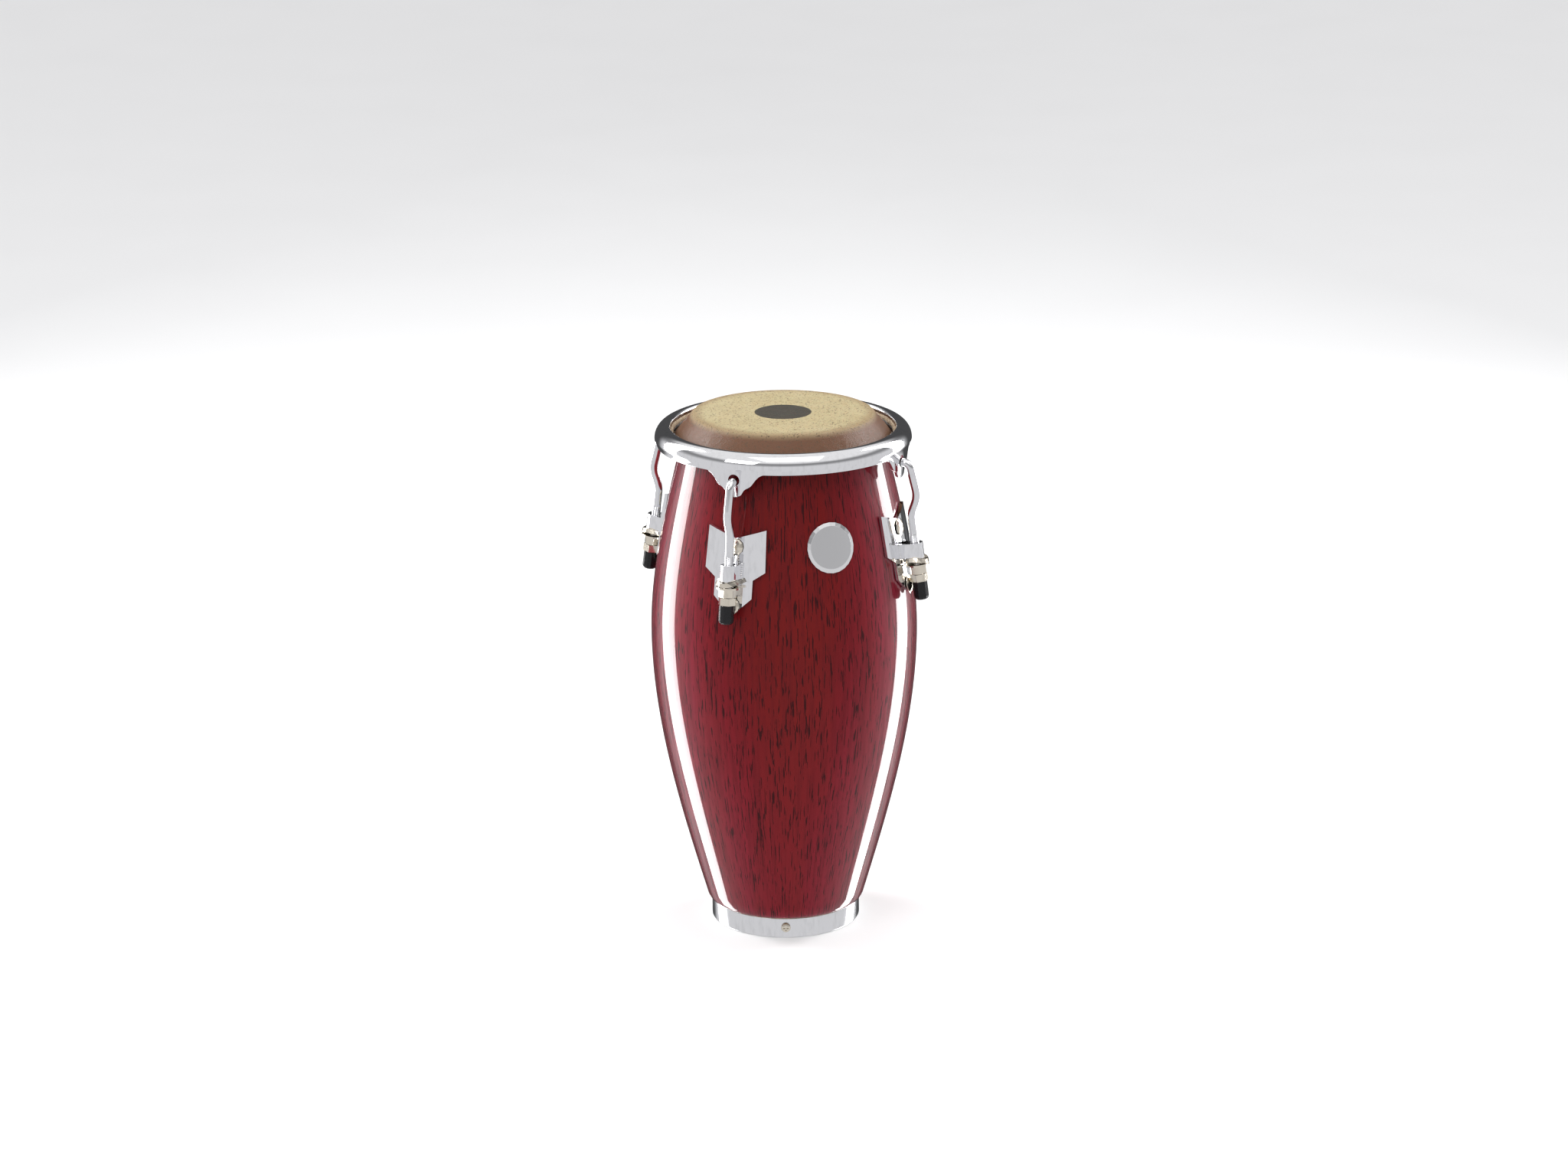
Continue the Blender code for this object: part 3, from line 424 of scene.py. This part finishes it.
# The collar mask carries the skin's own browner tone and a painted red reflection of the shell; it also
# makes the collar glossier.
collar_and_painted_reflection = out_from_axis.between(CREASE_TO, COLLAR_TO)
tone = skin.mix(crease_painted_shade * 0.60, tone, (0.23, 0.145, 0.075))
tone = skin.mix(collar_and_painted_reflection * 0.92, tone, (0.120, 0.046, 0.022))
tone = skin.mix(speck * 0.85, tone, (0.085, 0.055, 0.03))
ragged = skin.grain((900.0, 900.0, 900.0), 3.0) * PATCH_RAGGED - PATCH_RAGGED / 2
patch = 1.0 - (out_from_axis + ragged).between(PATCH_FROM, PATCH_TO)
worn = skin.grain((1700.0, 1700.0, 1700.0), 3.0).between(0.62, 0.74)
tone = skin.mix(patch * (0.94 - 0.35 * worn), tone, (0.028, 0.026, 0.025))
skin.set("Base Color", tone)
skin.set("Roughness", 0.52 + 0.12 * mottle - 0.22 * collar_and_painted_reflection)
fibres = skin.grain((1400.0, 1400.0, 1400.0), 4.0, 0.65)
skin.bump(fibres * 0.6 + mottle * 0.4, 0.7, 0.0004)
print("skin finish:", len(skin.nodes), "nodes")

# %% [markdown]
# Where the skin was trimmed its cut edge is paler, dry and shredded, so the edge has a finish of
# its own with a strong bump.

# %% Trimmed edge finish
raw_edge = Look("trimmed_skin_edge", (0.58, 0.45, 0.29), 0.85)
shreds = raw_edge.grain((1100.0, 1100.0, 1100.0), 5.0, 0.7).between(0.3, 0.7)
raw_edge.set("Base Color", raw_edge.mix(shreds, (0.34, 0.22, 0.12), (0.74, 0.62, 0.45)))
raw_edge.bump(shreds, 0.9, 0.0004)
print("trimmed edge finish:", len(raw_edge.nodes), "nodes")

# %% [markdown]
# Every solid gets its finish by the start of its name, so that four lugs need one line for each
# kind of piece.

# %% Dress the solids
BY_NAME = (("ring_screw", nickel, "nickel"), ("bottom_ring", satin, "chrome"),
           ("crown", chrome, "chrome"), ("badge", badge, "badge_metal"),
           ("lug_bracket", chrome, "chrome"), ("hook", rod_steel, "chrome"),
           ("rod_cap", cap, "black_cap"), ("backing_plate", zinc, "steel"),
           ("bolt_nut", zinc, "steel"), ("flesh_hoop", zinc, "steel"),
           ("lug_bolt", nickel, "nickel"), ("curved_washer", nickel, "nickel"),
           ("flat_washer", nickel, "nickel"), ("tuning_nut", nickel, "nickel"),
           ("lock_nut", nickel, "nickel"), ("shell", lacquer, "lacquered_wood"),
           ("drumhead", skin, "skin"))


def dress(piece, look):
    piece.data.materials.clear()
    piece.data.materials.append(look.material)


for name, piece in nodes.items():
    for start, look, slot in BY_NAME:
        if name.startswith(start):
            dress(piece, look)
            break
    else:
        print("no look for", name)
print("dressed", len(nodes), "solids")

# %% [markdown]
# The finer pieces are all grids of points: a profile that is turned round the drum's axis, or
# rings that are strung along a path. Blender's Screw and Curve tools could make most of them.
# Written out as points, a piece can also have ears, a ragged edge or two finishes.

# %% Mesh helpers
GAP = 0.0003


def add_piece(name, vertices, faces, looks, body, sharp=None, faces_look=None):
    """Make a smooth piece that rides with a body. Edges of more than sharp degrees stay crisp."""
    mesh = bpy.data.meshes.new(name)
    mesh.from_pydata(vertices, [], faces)
    for look in looks:
        mesh.materials.append(look.material)
    if faces_look:
        mesh.polygons.foreach_set("material_index", faces_look)
    tidy = bmesh.new()
    tidy.from_mesh(mesh)
    bmesh.ops.recalc_face_normals(tidy, faces=tidy.faces)
    tidy.to_mesh(mesh)
    tidy.free()
    mesh.shade_smooth()
    if sharp:
        mesh.set_sharp_from_angle(angle=math.radians(sharp))
    piece = bpy.data.objects.new(name, mesh)
    scene.collection.objects.link(piece)
    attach(piece, body)
    return piece


def grid_faces(rows, columns, close_rows, close_columns):
    """Quads between the points of a grid that is written row after row."""
    faces = []
    for r in range(rows if close_rows else rows - 1):
        for c in range(columns if close_columns else columns - 1):
            a, b = r * columns, (r + 1) % rows * columns
            d = (c + 1) % columns
            faces.append((a + c, a + d, b + d, b + c))
    return faces


def rod_faces(rows, columns):
    """The faces of a rod: quads between its rings, and one face on each end."""
    ends = [tuple(range(columns)), tuple(range((rows - 1) * columns, rows * columns))]
    return grid_faces(rows, columns, False, True) + ends


def around_axis(profile, columns):
    return [(r * math.cos(2 * math.pi * c / columns), r * math.sin(2 * math.pi * c / columns), z)
            for r, z in profile for c in range(columns)]


def spread(low, high, steps):
    return [low + (high - low) * i / steps for i in range(steps + 1)]


def lug_turn(azimuth):
    """The turn that takes the X axis to an azimuth; 0 is the front."""
    return Matrix.Rotation(math.radians(azimuth - 90.0), 4, 'Z')


# %% [markdown]
# The shell is a wooden barrel, widest a little above the middle. Its outline could be a long row
# of points; two smooth spans between the foot, the belly and the shoulder give the same line from
# a few sizes, and above the shoulder it is straight. These are the solid's own curves.

# %% Shell curve
BELLY = (0.162, 0.0706)
FOOT = (0.0112, 0.0415)
SHOULDER = (0.262, 0.05415)
FOOT_SLOPE = 0.295
SHOULDER_SLOPE = -0.23


def span(start, start_slope, end, end_slope, height):
    """The radius on a smooth curve between two (height, radius) points with given slopes."""
    length = end[0] - start[0]
    t = (height - start[0]) / length
    weight = t * t * (3 - 2 * t)
    bend = t * (1 - t) ** 2 * start_slope - t * t * (1 - t) * end_slope
    return start[1] * (1 - weight) + end[1] * weight + length * bend


def shell_radius(height):
    if height <= BELLY[0]:
        return span(FOOT, FOOT_SLOPE, BELLY, 0.0, height)
    if height <= SHOULDER[0]:
        return span(BELLY, 0.0, SHOULDER, SHOULDER_SLOPE, height)
    return SHOULDER[1] + SHOULDER_SLOPE * (height - SHOULDER[0])


print("shell radius in the middle:", round(shell_radius(HEAD_TOP / 2), 4))

# %% [markdown]
# The solid has few faces, and its outline would show corners. A smoothing modifier would shrink
# it, so the shell is drawn again on the same curves with many more. It is lacquered outside and
# bare from the bearing edge inwards and round the spigot that the bottom ring sits on.

# %% Shell
SHELL_COLUMNS = 192
SHELL_TOP = 0.2781
WALL = 0.008
SPIGOT_RADIUS, SPIGOT_LOW, SPIGOT_TOP = 0.0374, 0.0015, 0.0112
FOOT_BORE = 0.0335
FIRST_LACQUERED = 3
BARE_AT_TOP = 5
foot_edge = [(0.0400, SPIGOT_TOP), (0.0407, 0.01135), (0.0412, 0.0117), (0.04155, 0.0123)]
bearing_outside = [(0.04655, 0.2773), (0.0463, 0.2776), (0.0459, 0.2780), (0.0453, SHELL_TOP)]
bearing_inside = [(0.0447, SHELL_TOP), (0.0444, 0.2779), (0.0428, 0.2769)]
outer = [(SPIGOT_RADIUS, SPIGOT_LOW), (SPIGOT_RADIUS, SPIGOT_TOP)] + foot_edge
outer += [(shell_radius(z), z) for z in spread(0.0135, 0.2671, 64)] + bearing_outside
inner = bearing_inside + [(shell_radius(z) - WALL, z) for z in spread(0.270, SPIGOT_TOP, 40)]
inner.append((FOOT_BORE, SPIGOT_LOW))
profile = outer + inner
faces = grid_faces(len(profile), SHELL_COLUMNS, True, True)
lacquered = range(FIRST_LACQUERED, len(outer) - BARE_AT_TOP)
look_of = [0 if i // SHELL_COLUMNS in lacquered else 1 for i in range(len(faces))]
shell = add_piece("shell_lacquered", around_axis(profile, SHELL_COLUMNS), faces, [lacquer, bare], "drum",
                  38, look_of)
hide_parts("shell")
print("shell:", len(faces), "faces")

# %% [markdown]
# The bottom ring is a plain chromed band with softly rounded edges. A Bevel modifier could round
# it; a profile with two quarter circles rounds only the edges that show.

# %% Bottom ring
RING_OUT, RING_IN, RING_TOP, RING_SOFT = 0.0397, 0.0377, 0.0109, 0.0006
soft_at = RING_OUT - RING_SOFT
profile = []
for height, start in ((RING_TOP - RING_SOFT, 90), (RING_SOFT, 0)):
    for a in spread(math.radians(start), math.radians(start - 90), 6):
        profile.append((soft_at + RING_SOFT * math.cos(a), height + RING_SOFT * math.sin(a)))
profile += [(RING_IN, 0.0), (RING_IN, RING_TOP)]
faces = grid_faces(len(profile), SHELL_COLUMNS, True, True)
ring = add_piece("foot_band", around_axis(profile, SHELL_COLUMNS), faces, [satin], "drum", 60)
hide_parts("bottom_ring")
print("bottom ring:", len(faces), "faces")

# %% [markdown]
# The crown is one chromed steel hoop, rolled over at the top, with four ears that hang from its
# skirt. The ears could be separate plates stuck on, but on the real crown hoop and ears are one
# sheet. So the skirt's lower edge is a curve: each column of the grid ends as low as the ear is
# deep there. A smooth curve joins the few points that give the ear its shape.

# %% Crown edge
CROWN_TOP = 0.2734
SKIRT = CROWN_TOP - 0.0105
SKIRT_RADIUS = 0.0664
EAR = ((0.0, 0.0125), (0.0022, 0.0121), (0.0039, 0.0111), (0.0050, 0.0093), (0.0062, 0.0080),
       (0.0090, 0.0063), (0.0113, 0.0033), (0.0134, 0.0011), (0.0158, 0.0))
BEYOND_EAR = (0.0185, 0.0)
EAR_WIDTH, EAR_DEPTH = EAR[-1][0], EAR[0][1]
LUGS = [-22.5 + 90.0 * number for number in range(4)]


def curve_through(a, b, c, d, t):
    """A point between b and c on the smooth curve that also passes a and d."""
    return b + 0.5 * t * (c - a + t * (2 * a - 5 * b + 4 * c - d + t * (3 * (b - c) + d - a)))


ear_fine = []
for i, (before, after) in enumerate(zip(EAR, EAR[1:])):
    prior = EAR[i - 1] if i else (-EAR[1][0], EAR[1][1])
    later = EAR[i + 2] if i + 2 < len(EAR) else BEYOND_EAR
    for t in (0.0, 0.25, 0.5, 0.75):
        ear_fine.append(tuple(curve_through(*four, t) for four in zip(prior, before, after, later)))
ear_fine.append(EAR[-1])
columns = []
for centre in LUGS:
    for u, drop in [(-u, drop) for u, drop in reversed(ear_fine[1:])] + ear_fine:
        columns.append((centre + math.degrees(u / SKIRT_RADIUS), max(0.0, min(drop, EAR_DEPTH))))
    half = math.degrees(EAR_WIDTH / SKIRT_RADIUS)
    columns += [(degrees, 0.0) for degrees in spread(centre + half, centre + 90.0 - half, 36)[1:-1]]
print("crown edge:", len(columns), "columns")

# %% [markdown]
# The sheet is drawn as one closed profile: up the outside of the skirt, over the roll, down to
# the lip and back up inside. Where a profile point has no height of its own, it follows the
# skirt's lower edge, which is softened a little so that it catches the light.

# %% Crown sheet
CROWN_SHEET = 0.0019
INSIDE = SKIRT_RADIUS - CROWN_SHEET
ROLL_WIDTH, ROLL_HEIGHT = 0.0064, 0.0072
ROLL_CENTRE = Vector((0.0611, CROWN_TOP - ROLL_HEIGHT))
SKIRT_STRAIGHT = 0.0018
SOFT, SOFT_STEP, SOFT_LIFT = 0.00035, 0.0001, 0.00012


def oval(width, height, low, high, steps):
    return [(ROLL_CENTRE.x + width * math.cos(a), ROLL_CENTRE.y + height * math.sin(a), 0)
            for a in spread(math.radians(low), math.radians(high), steps)]


profile = [(INSIDE + SOFT, None, 0), (SKIRT_RADIUS - SOFT, None, 0),
           (SKIRT_RADIUS - SOFT_STEP, None, SOFT_LIFT), (SKIRT_RADIUS, None, SOFT),
           (SKIRT_RADIUS, SKIRT + SKIRT_STRAIGHT, 0)]
profile += oval(ROLL_WIDTH, ROLL_HEIGHT, 0, 90, 16)
lip = ((0.0600, 0.00020), (0.0594, 0.0007), (0.05905, 0.0013), (0.0591, 0.00195), (0.0597, 0.00212),
       (0.0604, 0.0020))
profile += [(r, CROWN_TOP - drop, 0) for r, drop in lip]
profile += oval(ROLL_WIDTH - CROWN_SHEET, ROLL_HEIGHT - CROWN_SHEET, 90, 0, 10)
profile += [(INSIDE, SKIRT + SKIRT_STRAIGHT, 0), (INSIDE, None, SOFT),
            (INSIDE + SOFT_STEP, None, SOFT_LIFT)]
vertices = []
for r, z, lift in profile:
    for degrees, drop in columns:
        a = math.radians(degrees - 90.0)
        vertices.append((r * math.cos(a), r * math.sin(a), SKIRT - drop + lift if z is None else z))
faces = grid_faces(len(profile), len(columns), True, True)
crown = add_piece("crown_rolled", vertices, faces, [chrome], "crown", 40)
print("crown sheet:", len(faces), "faces")

# %% [markdown]
# Each ear has a round hole for its hook rod. Holes could be woven into the grid, but its columns
# would have to bend round them. Four short cylinders are cut out instead, all with one Boolean,
# and the cutters are then taken away.

# %% Ear holes
EAR_HOLE = SKIRT - 0.00355
EAR_HOLE_RADIUS = 0.0031
CUTTER_AT = 0.0655
CUTTER_LENGTH = 0.008
cutters = bmesh.new()
for azimuth in LUGS:
    out_at = lug_turn(azimuth) @ Matrix.Translation((CUTTER_AT, 0.0, EAR_HOLE))
    bmesh.ops.create_cone(cutters, cap_ends=True, segments=40, radius1=EAR_HOLE_RADIUS,
                          radius2=EAR_HOLE_RADIUS, depth=CUTTER_LENGTH,
                          matrix=out_at @ Matrix.Rotation(math.pi / 2, 4, 'Y'))
cutter_mesh = bpy.data.meshes.new("ear_holes")
cutters.to_mesh(cutter_mesh)
cutters.free()
cutter = bpy.data.objects.new("ear_holes", cutter_mesh)
scene.collection.objects.link(cutter)
holes = crown.modifiers.new("holes", 'BOOLEAN')
holes.operation = 'DIFFERENCE'
holes.solver = 'EXACT'
holes.object = cutter
bpy.context.view_layer.update()
cut_mesh = bpy.data.meshes.new_from_object(crown.evaluated_get(bpy.context.evaluated_depsgraph_get()))
crown.modifiers.clear()
crown.data = cut_mesh
crown.data.set_sharp_from_angle(angle=math.radians(40))
bpy.data.objects.remove(cutter, do_unlink=True)
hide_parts("crown")
print("crown with holes:", len(crown.data.polygons), "faces")

# %% [markdown]
# A hook rod is a round bar with three bends: over the ear's edge, in the dog-leg, and into the
# tilted stretch that runs down through the strap. A curve object with a round bevel would do,
# but its bends aren't given as radii. Here straight stretches and true arcs join five corners,
# and rings of points follow them.

# %% Hook rod path
TILT = math.radians(8.0)
LUG_HEIGHT = 0.212
ROD_AT = shell_radius(LUG_HEIGHT) + 0.0092
ROD_RADIUS = 0.0022
HOOK_TOP = EAR_HOLE - EAR_HOLE_RADIUS + GAP + ROD_RADIUS
HOOK_INSIDE = 0.0030
HOOK_OUT = 0.0042
KNEE_OUT, KNEE_DROP = 0.0089, 0.01765
STRAIGHT_FROM = HOOK_TOP - 0.02765
ROD_BELOW = 0.0236
BEND_RADII = (0.0045, 0.0130, 0.0130)


def rounded_path(corners, bends, steps):
    """The points of a path with true arcs at its inner corners."""
    points = [corners[0]]
    for before, corner, after, radius in zip(corners, corners[1:], corners[2:], bends):
        back = (before - corner).normalized()
        ahead = (after - corner).normalized()
        half = back.angle(ahead) / 2
        centre = corner + (back + ahead).normalized() * (radius / math.sin(half))
        first = corner + back * (radius / math.tan(half)) - centre
        last = corner + ahead * (radius / math.tan(half)) - centre
        points += [centre + first.slerp(last, i / steps) * radius for i in range(steps + 1)]
    points.append(corners[-1])
    return points


corners = [Vector((INSIDE - HOOK_INSIDE, 0.0, HOOK_TOP)),
           Vector((SKIRT_RADIUS + HOOK_OUT, 0.0, HOOK_TOP)),
           Vector((SKIRT_RADIUS + KNEE_OUT, 0.0, HOOK_TOP - KNEE_DROP)),
           Vector((ROD_AT + (LUG_HEIGHT - STRAIGHT_FROM) * math.tan(TILT), 0.0, STRAIGHT_FROM)),
           Vector((ROD_AT + ROD_BELOW * math.sin(TILT), 0.0, LUG_HEIGHT - ROD_BELOW * math.cos(TILT)))]
path = rounded_path(corners, BEND_RADII, 14)
print("hook rod path:", len(path), "points")

# %% Hook rods
ROD_SIDES = 20
END_ROUND = 0.0004
END_SHARE = 0.82
side = Vector((0.0, 1.0, 0.0))
rod_points = []
for i, point in enumerate(path):
    along = (path[min(i + 1, len(path) - 1)] - path[max(i - 1, 0)]).normalized()
    other = along.cross(side)
    rod_rings = [(point, ROD_RADIUS)]
    if i == 0:
        rod_rings = [(point, ROD_RADIUS * END_SHARE), (point + along * END_ROUND, ROD_RADIUS)]
    for middle, radius in rod_rings:
        for step in range(ROD_SIDES):
            a = 2 * math.pi * step / ROD_SIDES
            rod_points.append(middle + (side * math.cos(a) + other * math.sin(a)) * radius)
faces = rod_faces(len(rod_points) // ROD_SIDES, ROD_SIDES)
for number, azimuth in enumerate(LUGS, start=1):
    vertices = [lug_turn(azimuth) @ point for point in rod_points]
    hook = add_piece(f"hook_rod_bar_{number}", vertices, faces, [rod_steel], f"hook_rod_{number}",
                     50)
    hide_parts(f"hook_{number}")
print("hook rods:", len(LUGS))

# %% [markdown]
# The skin is one sheet: flat over the head, rounded over the bearing edge, straight down the
# collar and lapped round the steel hoop. Natural skin is fitted wet, so it puckers a little down
# the collar, and its trimmed edge is ragged where it comes up inside the crown. A cloth
# simulation would need the whole fitting; a line that is worked out at each azimuth, with a
# little noise, gives the same forms.

# %% Skin line
SKIN_SHEET = 0.0010
HOOP_CENTRE = Vector((0.0604, 0.2675))
HOOP_RADIUS = 0.0023
BEARING_RADIUS = 0.0465
LAP = HOOP_RADIUS + GAP + SKIN_SHEET / 2
EDGE_BEND = 0.0020
edge_centre = Vector((BEARING_RADIUS + SKIN_SHEET / 2 + GAP - EDGE_BEND / 2,
                      HEAD_TOP - SKIN_SHEET / 2 - EDGE_BEND))
across = HOOP_CENTRE - edge_centre
lean = math.atan2(across.y, across.x) - math.asin((EDGE_BEND + LAP) / across.length)
FLAT_RADII = (0.0005, 0.008, 0.016, 0.024, 0.032, 0.038, 0.042)
PUCKER_DEPTH = 0.00016
TRIM_DEGREES, TRIM_RAGGED = 150.0, 9.0


def skin_line(azimuth):
    """The middle of the sheet and its outward side, at one azimuth, from the axis to the trim."""
    here = Vector((math.cos(azimuth), math.sin(azimuth), 0.0))
    pucker = noise.noise(here * 9.0) * 0.6 + 0.4 * noise.noise(here * 31.0)
    ragged = noise.noise(here * 40.0 + Vector((0, 0, 3))) + 0.6 * noise.noise(here * 150.0)
    points = [(r, HEAD_TOP - SKIN_SHEET / 2, 0.0, 1.0) for r in FLAT_RADII]
    start = math.pi / 2 + lean
    for a in spread(math.pi / 2, start, 8):
        nx, nz = math.cos(a), math.sin(a)
        points.append((edge_centre.x + EDGE_BEND * nx, edge_centre.y + EDGE_BEND * nz, nx, nz))
    nx, nz = math.cos(start), math.sin(start)
    top = Vector(points[-1][:2])
    foot = HOOP_CENTRE - Vector((nx, nz)) * LAP
    for share in spread(0.0, 1.0, 9)[1:-1]:
        middle = top.lerp(foot, share)
        wave = PUCKER_DEPTH * pucker * math.sin(math.pi * share)
        points.append((middle.x + nx * wave, middle.y + nz * wave, nx, nz))
    for a in spread(start - math.pi, math.radians(TRIM_DEGREES + TRIM_RAGGED * ragged), 26):
        nx, nz = math.cos(a), math.sin(a)
        points.append((HOOP_CENTRE.x + LAP * nx, HOOP_CENTRE.y + LAP * nz, -nx, -nz))
    return points


print("skin line:", len(skin_line(0.0)), "points")

# %% [markdown]
# The sheet gets its thickness by going out along the line on one side and back on the other. A
# Solidify modifier would do the same, but not thin the trimmed edge by a different amount at
# each azimuth. Two points on the axis close the head above and below.

# %% Skin
SKIN_COLUMNS = 360
TIP_SHARE = 0.55
FRAYED_FACES = 4


def sheet_ring(azimuth):
    """The closed outline of the sheet at one azimuth, as points in space."""
    line = skin_line(azimuth)
    half = SKIN_SHEET / 2
    fray = 1.0 + 0.35 * noise.noise(Vector((math.cos(azimuth), math.sin(azimuth), 7.0)) * 120.0)
    above = [(r + half * nx, z + half * nz) for r, z, nx, nz in line[:-1]]
    below = [(r - half * nx, z - half * nz) for r, z, nx, nz in line[:-1]]
    r, z, nx, nz = line[-1]
    thin = half * TIP_SHARE
    tip = [(r + thin * fray * nx, z + thin * fray * nz), (r - thin * nx, z - thin * nz)]
    outline = above + tip + below[::-1]
    return [(a * math.cos(azimuth), a * math.sin(azimuth), b) for a, b in outline]


outlines = [sheet_ring(2 * math.pi * c / SKIN_COLUMNS) for c in range(SKIN_COLUMNS)]
length = len(outlines[0])
vertices = [point for outline in outlines for point in outline]
faces = grid_faces(SKIN_COLUMNS, length, True, False)
top_pole = len(vertices)
vertices += [(0.0, 0.0, HEAD_TOP), (0.0, 0.0, HEAD_TOP - SKIN_SHEET)]
trim = length // 2 - 1
look_of = [1 if abs(i % (length - 1) - trim) < FRAYED_FACES else 0 for i in range(len(faces))]
for c in range(SKIN_COLUMNS):
    d = (c + 1) % SKIN_COLUMNS
    faces.append((c * length, d * length, top_pole))
    faces.append((d * length + length - 1, c * length + length - 1, top_pole + 1))
    look_of += [0, 0]
head = add_piece("skin_head", vertices, faces, [skin, raw_edge], "drum", 70, look_of)
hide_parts("drumhead")
print("skin:", len(faces), "faces")

# %% [markdown]
# Loose fibres stand up from the trimmed edge. They are thicker near the front right. A hair
# system isn't part of an exported mesh, so each fibre is a thin three-sided rod. A fixed seed
# gives the same fibres on every run.

# %% Fibres
FIBRES = 260
THICKET_SHARE = 0.35
FRONT = math.radians(-90.0)
FIBRE_STEPS = 4
FIBRE_SIDES = 3
random.seed(11)
vertices, faces = [], []
for _ in range(FIBRES):
    azimuth = random.uniform(0.0, 2 * math.pi)
    if random.random() < THICKET_SHARE:
        azimuth = FRONT + random.gauss(math.radians(24.0), math.radians(9.0))
    lap = math.radians(random.uniform(138.0, 150.0))
    reach = LAP + SKIN_SHEET * 0.45
    root = Vector((HOOP_CENTRE.x + reach * math.cos(lap), HOOP_CENTRE.y + reach * math.sin(lap)))
    lift = random.uniform(0.0007, 0.0016)
    lean_in = random.uniform(-0.0011, 0.0004)
    drift = random.uniform(-0.012, 0.012)
    width = random.uniform(0.00005, 0.00010)
    first = len(vertices)
    for step in range(FIBRE_STEPS):
        t = step / (FIBRE_STEPS - 1)
        r = root.x + lean_in * t * t
        z = root.y + lift * t
        a = azimuth + drift * t
        w = width * (1.0 - 0.6 * t)
        for corner in range(FIBRE_SIDES):
            turn_by = 2 * math.pi * corner / FIBRE_SIDES
            x = r * math.cos(a) + w * math.cos(turn_by)
            y = r * math.sin(a) + w * math.sin(turn_by)
            vertices.append((x, y, z))
    for face in rod_faces(FIBRE_STEPS, FIBRE_SIDES):
        faces.append(tuple(first + i for i in face))
add_piece("skin_fibres", vertices, faces, [raw_edge], "drum")
print("fibres:", FIBRES)

# %% [markdown]
# Each rod is threaded from a little above the strap down into its cap. A bump could suggest the
# thread, but the rod's outline would stay smooth. So the thread is a real ridge: the radius of
# each ring of points rises and falls once round, and the rise turns as the rings go up. There is
# no ridge by the curved washers, where it can't be seen: with one, four pairs of pieces would touch.

# %% Thread ridges
PITCH_OF_THREAD = 0.0008
THREAD_LOW, THREAD_HIGH = -0.0175, 0.0088
WASHER_LOW, WASHER_HIGH = -0.0078, -0.0042
THREAD_CORE = 0.00222
THREAD_RISE = 0.00022
RUN_OUT = 0.0006
FLAT_CREST = 1.25
STEPS_A_TURN = 20
ROWS_A_TURN = 5
THREAD_ROWS = int((THREAD_HIGH - THREAD_LOW) / PITCH_OF_THREAD * ROWS_A_TURN)


def rod_frame(azimuth):
    """Where a rod's threaded stretch is, with Z up along the rod."""
    tilt = Matrix.Rotation(-TILT, 4, 'Y')
    return lug_turn(azimuth) @ Matrix.Translation((ROD_AT, 0.0, LUG_HEIGHT)) @ tilt


def thread_points(place):
    points = []
    for row in range(THREAD_ROWS):
        z = THREAD_LOW + (THREAD_HIGH - THREAD_LOW) * row / (THREAD_ROWS - 1)
        fade = 0.0 if WASHER_LOW < z < WASHER_HIGH else min(1.0, (THREAD_HIGH - z) / RUN_OUT)
        for step in range(STEPS_A_TURN):
            a = 2 * math.pi * step / STEPS_A_TURN
            wave = abs(((z / PITCH_OF_THREAD - step / STEPS_A_TURN) % 1.0) * 2.0 - 1.0)
            r = THREAD_CORE + THREAD_RISE * fade * min(1.0, wave * FLAT_CREST)
            points.append(place @ Vector((r * math.cos(a), r * math.sin(a), z)))
    return points


print("thread:", THREAD_ROWS, "rings of", STEPS_A_TURN, "points")

# %% [markdown]
# A weld bead runs up each side of the strap where its legs meet the plate. A rounded strip would
# look moulded, so it is a thin rod with ripples, about half sunk into the plate and tapered at
# its ends.

# %% Weld beads
PLATE_SHEET = 0.0017
WELD_SIDE = 0.00440
WELD_RADIUS = 0.00062
WELD_SINK = 0.00012
WELD_HALF = 0.0038
WELD_SECTIONS = 26
WELD_CORNERS = 8
THINNEST = 0.02
NEAR = 0.0005
SLOPE = (shell_radius(LUG_HEIGHT + NEAR) - shell_radius(LUG_HEIGHT - NEAR)) / (2 * NEAR)


def weld_points(lug, side):
    points = []
    for i in range(WELD_SECTIONS):
        t = i / (WELD_SECTIONS - 1)
        z = LUG_HEIGHT + (-WELD_HALF + 2 * WELD_HALF * t)
        face_at = shell_radius(LUG_HEIGHT) + GAP + SLOPE * (z - LUG_HEIGHT) + PLATE_SHEET
        ripple = 1.0 + 0.16 * math.sin(i * 1.9)
        taper = math.sqrt(max(THINNEST, 1.0 - (2 * t - 1) ** 6))
        bead = WELD_RADIUS * ripple * taper
        for corner in range(WELD_CORNERS):
            a = 2 * math.pi * corner / WELD_CORNERS
            x = face_at - WELD_SINK + bead * math.cos(a)
            y = side * WELD_SIDE + bead * math.sin(a)
            points.append(lug @ Vector((x, y, z)))
    return points


print("weld bead:", 2 * WELD_HALF * 1000, "mm long")

# %% Threads and welds on the lugs
thread_faces = rod_faces(THREAD_ROWS, STEPS_A_TURN)
weld_faces = rod_faces(WELD_SECTIONS, WELD_CORNERS)
for number, azimuth in enumerate(LUGS, start=1):
    add_piece(f"rod_thread_{number}", thread_points(rod_frame(azimuth)), thread_faces, [rod_steel],
              f"hook_rod_{number}", 50)
    for side, name in ((-1, "left"), (1, "right")):
        add_piece(f"weld_{number}_{name}", weld_points(lug_turn(azimuth), side), weld_faces, [chrome],
                  "drum")
print("threads and welds for", len(LUGS), "lugs")
